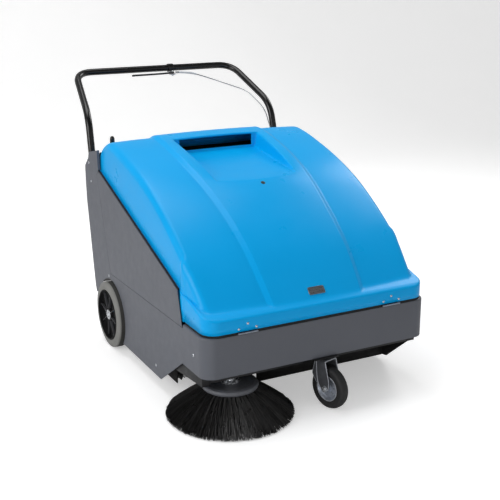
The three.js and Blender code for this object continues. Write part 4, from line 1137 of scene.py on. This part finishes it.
def build_caster_fork():
    # (Y, Z, corner radius)
    leg = [(-36, 186.8, 6), (12, 186.8, 10), (27, 124, 12), (10, 105, 8), (2, 95, 10),
           (-9, 82, 10), (-22, 73, 10), (-38, 69, 12), (-50, 74, 8), (-57, 84, 8),
           (-58, 100, 14), (-55, 122, 20)]
    outline = fillet([row[:2] for row in leg], [row[2] for row in leg])
    hole = arc(-TRAIL, CASTER_RADIUS, 6.4, 0, 345, 23)
    legs = [prism(outline, x0, x1, "x", [hole]) for x0, x1 in ((-28.8, -25.2), (25.2, 28.8))]
    crown = prism(fillet([(-28.8, -36.4), (28.8, -36.4), (28.8, 26), (20, 33), (-20, 33),
                          (-28.8, 26)], [3, 3, 6, 6, 6, 6], 4),
                  183.2, 187.0, "z", [arc(0, 0, 7.6, 0, 345, 23)])
    raceway = lathe(fillet([(10, 183), (27, 183), (27, 178.5), (22, 175.5), (10, 175.5)],
                           [0, 2, 2, 2, 0], 4), 40, "z", 0, 0)
    piece("caster_fork_pressing", in_caster(join(*legs, crown, raceway)), "caster_swivel",
          "fork", "dark_steel", ["caster_fork"], bevel=1.1, segments=3)
    # stiffening rib near the leg's edge and a finer line inside it, in the lighter copy of the fork
    # steel as painted highlight: (-Y, Z)
    long_rib = [(-7, 185), (-4, 140), (0, 108), (8, 88), (19, 76), (34, 70), (48, 74), (56, 86),
                (57.5, 108), (54, 124), (36.5, 186)]
    short_rib = [(-12, 184), (-27, 126), (-11, 104), (-1, 94), (6, 86)]
    ribs = []
    for x in (-28.9, 28.9):
        for run, radius in ((long_rib, 1.5), (short_rib, 0.8)):
            path = smooth_path([(x, -back, z) for back, z in run], 8, 5)
            ribs.append(sweep(path, radius, 10))
    crown_edge = smooth_path([(-29, -36.6, 186.6), (0, -36.9, 187), (29, -36.6, 186.6)], 4, 3)
    ribs.append(sweep(crown_edge, 1.5, 10))
    piece("caster_fork_ribs", in_caster(join(*ribs)), "caster_swivel", "fork_highlight", "dark_steel",
          smooth=60)


def axle_nut(x, out):
    """Nut, stub and washer against the leg at x; out is the outward sign."""
    nut = [(0, x), (10.4, x), (11.2, x + out * 0.8), (11.2, x + out * 5.4),
           (9.8, x + out * 6.8), (0, x + out * 6.8)]
    washer = [(0, x - out * 1.2), (12.2, x - out * 1.2), (12.2, x), (0, x)]
    start, end = sorted((x, x + out * 8.4))
    stub = rod("x", 5.0, start, end, -TRAIL, CASTER_RADIUS, 20, 0.6)
    return join(caster_lathe(nut, 6), stub, caster_lathe(washer, 28))


def build_caster_wheel():
    axle = rod("x", 5.9, -30, 30, -TRAIL, CASTER_RADIUS, 24)
    piece("caster_axle_and_nuts", in_caster(join(axle_nut(-30, -1), axle_nut(30, 1), axle)),
          "caster_swivel", "steel", "bright_steel", ["caster_axle_bolt"], smooth=32)
    tyre = fillet([(48.4, -17), (68, -19), (77, -14.5), (CASTER_RADIUS, -6), (CASTER_RADIUS, 6),
                   (77, 14.5), (68, 19), (48.4, 17)], [1, 5, 5, 6, 6, 5, 5, 1])
    piece("caster_wheel_tyre", in_caster(caster_lathe(tyre, 80)), "caster_wheel", "castertyre",
          "black_tyre", ["caster_tyre"], smooth=50)
    rim = fillet([(6.6, -22), (14, -22), (15, -9), (38, -7.5), (46, -17.6), (49, -17.6),
                  (49, 17.6), (46, 17.6), (38, 7.5), (15, 9), (14, 22), (6.6, 22)],
                 [0.5, 2, 4, 5, 2, 0.5, 0.5, 2, 5, 4, 2, 0.5])
    piece("caster_wheel_rim", in_caster(caster_lathe(rim, 64)), "caster_wheel", "rimsteel",
          "zinc", ["caster_rim"], smooth=45)
    # beads at the rim's edges in the lighter copy of the fork steel: painted highlight
    for k, (x0, x1) in enumerate(((-19.4, -17.2), (17.2, 19.4))):
        bead = fillet([(45.8, x0), (49.4, x0), (49.4, x1), (45.8, x1)], 0.9, 4)
        piece(f"caster_rim_bead_{k + 1}", in_caster(caster_lathe(bead, 64)), "caster_wheel",
              "fork_highlight", "zinc", smooth=60)


def build_caster_bolts():
    head = [(0, 189.0), (6.4, 189.0), (7.2, 189.4), (7.2, 190.3), (0, 190.3)]
    washer = [(0, 190.1), (9, 190.1), (9, 190.6), (0, 190.6)]
    for k, (x, y) in enumerate(((-22, -4), (58, -4), (-22, 42), (58, 42))):
        bolt = join(lathe(head, 6, "z", x, y), lathe(washer, 28, "z", x, y))
        piece(f"caster_plate_bolt_{k + 1}", bolt, "chassis", "steel", "bright_steel", smooth=30)


# ------------------------------------------------------------------ brushes
BRUSH_X, BRUSH_Y = -318, 110  # side brush axis
ROLLER_Y, ROLLER_Z = 480, 128


def around_brush(radius, angle, *height):
    return (BRUSH_X + radius * cos(angle), BRUSH_Y + radius * sin(angle), *height)


def strands(rows, rings=5, segments=3):
    """rows of (start, middle, end, radius) as thin tapering filaments in one mesh."""
    verts, faces = [], []
    for *points, radius in rows:
        start, middle, end = (np.array(p, float) for p in points)
        along = end - start
        along /= np.linalg.norm(along)
        side = np.cross(along, (0, 0, 1.0))
        side = side / np.linalg.norm(side)
        other = np.cross(along, side)
        first = len(verts)
        for i in range(rings):
            t = i / (rings - 1)
            centre, size = curve(start, middle, end, t), radius * (1 - 0.22 * t)
            for j in range(segments):
                angle = 2 * pi * j / segments
                verts.append(tuple(centre + size * (side * cos(angle) + other * sin(angle))))
        faces += tube_faces(rings, segments, first)
        faces.append(tuple(range(first + (rings - 1) * segments, first + rings * segments)))
    return verts, faces


def build_side_brush():
    disc = fillet([(0, 105), (92, 105), (102, 108), (105, 116), (100, 123.5), (88, 126),
                   (60, 124), (44, 126), (0, 126)], [0, 1, 3, 4, 3, 3, 6, 3, 0], 4, closed=False)
    piece("brush_disc_moulding", lathe(disc, 96, "z", BRUSH_X, BRUSH_Y), "side_brush", "disc",
          "black_plastic", ["side_brush_disc"], smooth=45)
    flange = fillet([(0, 126), (36, 126), (37, 131), (22, 132), (20, 134), (20, 156), (28, 157),
                     (28, 162), (0, 162)], [0, 0.5, 1.5, 1.5, 2, 1.5, 1, 1, 0], 4, closed=False)
    hub = [lathe(flange, 48, "z", BRUSH_X, BRUSH_Y)]
    low_bolt = [(0, 136.5), (4.2, 136.5), (4.8, 135.8), (4.8, 131), (0, 131)]
    top_bolt = [(0, 165.5), (3.0, 165.5), (3.4, 165), (3.4, 161.8), (0, 161.8)]
    # profile, count, first angle, pitch radius
    for bolt, count, turn, pitch in ((low_bolt, 4, 30, 29), (top_bolt, 6, 0, 23.5)):
        for k in range(count):
            angle = radians(k * (360 // count) + turn)
            hub.append(lathe(bolt, 6, "z", *around_brush(pitch, angle)))
    piece("brush_hub_flange", join(*hub), "side_brush", "steel", "bright_steel",
          ["side_brush_hub"], smooth=32)


def build_side_filaments():
    # root radius, tip radius low and high, tip height low and high, tufts, strands per tuft
    rings = ((99, 214, 236, 3, 14, 46, 50),
             (88, 204, 230, 1.5, 9, 40, 42),
             (74, 176, 214, 1.0, 5, 32, 26))
    rows = []
    for root_radius, tip_low, tip_high, z_low, z_high, tufts, per_tuft in rings:
        for tuft in range(tufts):
            base = 2 * pi * tuft / tufts + RNG.normal(0, 0.01)
            lean = RNG.normal(0, 0.03)
            for _ in range(per_tuft):
                root_angle = base + RNG.normal(0, 0.022)
                tip_angle = base + lean + RNG.normal(0, 0.075)
                root = root_radius + RNG.normal(0, 1.8)
                tip = tip_high - (tip_high - tip_low) * RNG.random() ** 2.4
                tip_z = z_low + (z_high - z_low) * RNG.random() ** 1.5
                middle = root + (tip - root) * 0.52
                middle_z = 107 + (tip_z - 107) * 0.52 + RNG.uniform(3, 13)
                middle_angle = root_angle + (tip_angle - root_angle) * 0.45
                rows.append((around_brush(root, root_angle, 106),
                             around_brush(middle, middle_angle, middle_z),
                             around_brush(tip, tip_angle, tip_z), RNG.uniform(0.85, 1.25)))
    piece("side_brush_filaments", strands(rows), "side_brush", "bristle", "bristle",
          ["side_brush_bristles"], smooth=80)
    core = fillet([(60, 105), (96, 105), (158, 62), (204, 18), (194, 8), (140, 12), (100, 60)],
                  [1, 6, 20, 6, 6, 6, 20], 4)
    piece("side_brush_filament_core", lathe(core, 72, "z", BRUSH_X, BRUSH_Y), "side_brush",
          "bristlecore", "bristle", smooth=60)


def build_roller_brush():
    def around(x, radius, angle):
        return x, ROLLER_Y + radius * cos(angle), ROLLER_Z + radius * sin(angle)

    rows = []
    for x in np.arange(-374, 375, 11.0):
        for tuft in range(14):
            base = 2 * pi * tuft / 14 + abs(x) / 374 * 0.9
            for _ in range(4):
                root_angle = base + RNG.normal(0, 0.03)
                tip_angle = base + RNG.normal(0, 0.06)
                root_x = x + RNG.normal(0, 2.0)
                tip_x = x + RNG.normal(0, 4.0)
                tip = RNG.uniform(119, 123.5)
                rows.append((around(root_x, 38, root_angle), around(root_x, 80, root_angle),
                             around(tip_x, tip, tip_angle), 1.1))
    piece("roller_brush_filaments", strands(rows, rings=3), "main_brush", "bristle", "bristle",
          ["main_brush_bristles"], smooth=80)
    backing = [(38.4, -380), (86, -380), (86, 380), (38.4, 380)]
    piece("roller_brush_backing", lathe(backing, 56, "x", ROLLER_Y, ROLLER_Z), "main_brush",
          "bristlecore", "bristle", smooth=40)


# ------------------------------------------------------------------ under the hood
def build_filter():
    left, right, folds = -292, 152, 48
    zigzag = [(left + (right - left) * i / folds, 348 if i % 2 else 300) for i in range(folds + 1)]
    outline = [(left, 290), (right, 290)] + zigzag[::-1]
    piece("filter_pleats", prism(outline, 672, 952, "y"), "chassis", "filter", "filter_media",
          ["panel_filter"], smooth=20)


def build_batteries():
    cap = [(0, 456), (10, 456), (12, 454), (12, 451), (0, 451)]
    for side, x0 in (("left", -215), ("right", 105)):
        lid = fillet([(x0 + 14, 134), (x0 + 296, 134), (x0 + 296, 278), (x0 + 14, 278)], 8)
        piece(f"{side}_battery_lid", prism(lid, 448, 451.5, "z"), "chassis", "battery",
              "battery_case", bevel=1.0)
        caps = [lathe(cap, 24, "z", x0 + 70 + 34 * k, 250) for k in range(6)]
        piece(f"{side}_battery_caps", join(*caps), "chassis", "plastic", "black_plastic",
              smooth=40)
    terminals, terminal_y = (-178, 57, 142, 378), 202
    link_from, link_to, feed = terminals[1:]
    link = smooth_path([(link_from, terminal_y, 461), (link_from, terminal_y, 474),
                        (link_to, terminal_y, 474), (link_to, terminal_y, 461)], 10, 6)
    piece("battery_link_lead", sweep(link, 4.5, 14), "chassis", "blackcable", "cable", smooth=60)
    lead = smooth_path([(feed, terminal_y, 461), (feed, terminal_y, 476), (feed, 330, 476),
                        (360, 560, 380), (330, 700, 374)], [10, 20, 60, 40])
    piece("battery_feed_lead", sweep(lead, 4.5, 14), "chassis", "blackcable", "cable", smooth=60)
    post = [(0, 466), (7, 466), (8, 465), (8.5, 457), (0, 457)]
    for k, x in enumerate(terminals):
        piece(f"battery_terminal_{k + 1}", join(lathe(post, 24, "z", x, terminal_y)), "chassis",
              "brushed", "bright_steel", smooth=40)


def build_heat_sink():
    fins = [box(210 + 14 * k, 216 + 14 * k, 700, 850, 371.6, 384) for k in range(12)]
    piece("controller_heat_sink", join(*fins), "chassis", "brushed", "bright_steel", bevel=0.6)


# ------------------------------------------------------------------ stage, in scene metres
def floor_material():
    """Pale floor that glows a little to the camera only."""
    mat = bpy.data.materials.new("pale_floor")
    mat.use_nodes = True
    nodes, link = mat.node_tree.nodes, mat.node_tree.links.new
    surface = nodes["Principled BSDF"]
    noise, tone = nodes.new("ShaderNodeTexNoise"), nodes.new("ShaderNodeMapRange")
    coords, grey = nodes.new("ShaderNodeTexCoord"), nodes.new("ShaderNodeCombineColor")
    link(coords.outputs["Object"], noise.inputs["Vector"])
    noise.inputs["Scale"].default_value = 3
    set_inputs(tone, {"To Min": 0.84, "To Max": 0.88})
    link(noise.outputs["Fac"], tone.inputs["Value"])
    for i in range(3):
        link(tone.outputs[0], grey.inputs[i])
    link(grey.outputs[0], surface.inputs["Base Color"])
    set_inputs(surface, {"Roughness": 0.9, "Specular IOR Level": 0.1,
                         "Emission Color": (1, 1, 1, 1)})
    glow, ray = nodes.new("ShaderNodeMath"), nodes.new("ShaderNodeLightPath")
    glow.operation = "MULTIPLY"
    glow.inputs[1].default_value = 0.42
    link(ray.outputs["Is Camera Ray"], glow.inputs[0])
    link(glow.outputs[0], surface.inputs["Emission Strength"])
    return mat


def build_floor():
    """Flat floor that curves up into a rear wall."""
    reach, bend_y, bend, wall_top = 14.0, 3.2, 2.2, 9.0
    profile = [(-reach, 0.0), (bend_y, 0.0)]
    profile += [(bend_y + bend * sin(radians(a)), bend - bend * cos(radians(a)))
                for a in range(10, 91, 10)]
    profile += [(bend_y + bend, wall_top)]
    mesh = bpy.data.meshes.new("studio_floor")
    mesh.from_pydata([(x, y, z) for y, z in profile for x in (-reach, reach)], [],
                     [(2 * i, 2 * i + 1, 2 * i + 3, 2 * i + 2) for i in range(len(profile) - 1)])
    shade_smooth(mesh)
    mesh.materials.append(floor_material())
    floor = bpy.data.objects.new("studio_floor", mesh)
    bpy.context.scene.collection.objects.link(floor)


def build_world():
    """White to the camera, dim white as light, darker towards the zenith in reflections."""
    world = bpy.data.worlds.new("studio")
    bpy.context.scene.world = world
    world.use_nodes = True
    nodes, link = world.node_tree.nodes, world.node_tree.links.new
    nodes.clear()
    output, ray = nodes.new("ShaderNodeOutputWorld"), nodes.new("ShaderNodeLightPath")
    lighting, reflected, seen = (nodes.new("ShaderNodeBackground") for _ in range(3))
    set_inputs(lighting, {"Color": (1, 1, 1, 1), "Strength": 0.34})
    set_inputs(reflected, {"Strength": 1.0})
    set_inputs(seen, {"Color": (1, 1, 1, 1), "Strength": 1.0})
    coords, split = nodes.new("ShaderNodeTexCoord"), nodes.new("ShaderNodeSeparateXYZ")
    fade, grey = nodes.new("ShaderNodeMapRange"), nodes.new("ShaderNodeCombineColor")
    link(coords.outputs["Generated"], split.inputs[0])
    link(split.outputs["Z"], fade.inputs["Value"])
    set_inputs(fade, {"From Min": -0.1, "From Max": 0.75, "To Min": 0.62, "To Max": 0.07})
    for i in range(3):
        link(fade.outputs[0], grey.inputs[i])
    link(grey.outputs[0], reflected.inputs[0])

    def switch(ray_kind, otherwise, chosen):
        mix = nodes.new("ShaderNodeMixShader")
        link(ray.outputs[ray_kind], mix.inputs[0])
        link(otherwise.outputs[0], mix.inputs[1])
        link(chosen.outputs[0], mix.inputs[2])
        return mix

    glossy = switch("Is Glossy Ray", lighting, reflected)
    link(switch("Is Camera Ray", glossy, seen).outputs[0], output.inputs[0])


def area_light(name, location, target, size, power):
    light = bpy.data.lights.new(name, "AREA")
    light.energy, light.shape = power, "RECTANGLE"
    light.size, light.size_y = size
    obj = bpy.data.objects.new(name, light)
    obj.location = location
    aim = Vector(target) - Vector(location)
    obj.rotation_euler = aim.to_track_quat("-Z", "Y").to_euler()
    bpy.context.scene.collection.objects.link(obj)
    obj.visible_camera = False


def build_lights():
    area_light("key_left", (-4.2, -0.6, 2.4), target=(0, 0, 0.5), size=(2.6, 2.2), power=78)
    area_light("top_box", (-0.4, 0.9, 4.4), target=(0, 0, 0.4), size=(3.2, 2.4), power=77)
    area_light("front_fill", (0.6, -4.8, 2.0), target=(0, 0, 0.4), size=(2.4, 1.6), power=5)
    area_light("low_front", (-1.6, -3.0, 0.45), target=(-0.05, -0.6, 0.12), size=(0.9, 0.5),
               power=7)
    area_light("right_box", (2.9, 0.9, 2.9), target=(0, 0, 0.7), size=(1.6, 1.2), power=38)


def build_camera():
    pitch_down, turn_right = 16.846, 27.839  # degrees
    scene = bpy.context.scene
    camera = bpy.data.objects.new("camera", bpy.data.cameras.new("camera"))
    scene.collection.objects.link(camera)
    camera.location = (-1.73845, -3.4975, 1.5980)
    camera.rotation_euler = (radians(90 - pitch_down), 0, radians(-turn_right))
    camera.data.sensor_width = 36
    camera.data.lens = 70.19
    camera.data.shift_x, camera.data.shift_y = -0.0024, 0.0018
    camera.data.clip_end = 60
    scene.camera = camera
    view = scene.view_settings
    view.view_transform, view.look, view.exposure, view.gamma = "Standard", "None", 0.0, 1.0


# ------------------------------------------------------------------ build, in a fixed order
for build in (
    build_hood, build_hinges, build_hood_fittings,
    build_skirt, build_side_plates, build_folds_seals_and_gap_shade, build_rear_cover, build_screws,
    finish_kept_pieces,
    build_handle, build_clutch_lever, build_clutch_cable, build_control_lever,
    build_wheels, build_caster_fork, build_caster_wheel, build_caster_bolts,
    build_side_brush, build_side_filaments, build_roller_brush,
    build_filter, build_batteries, build_heat_sink,
    build_floor, build_world, build_lights, build_camera,
):
    build()
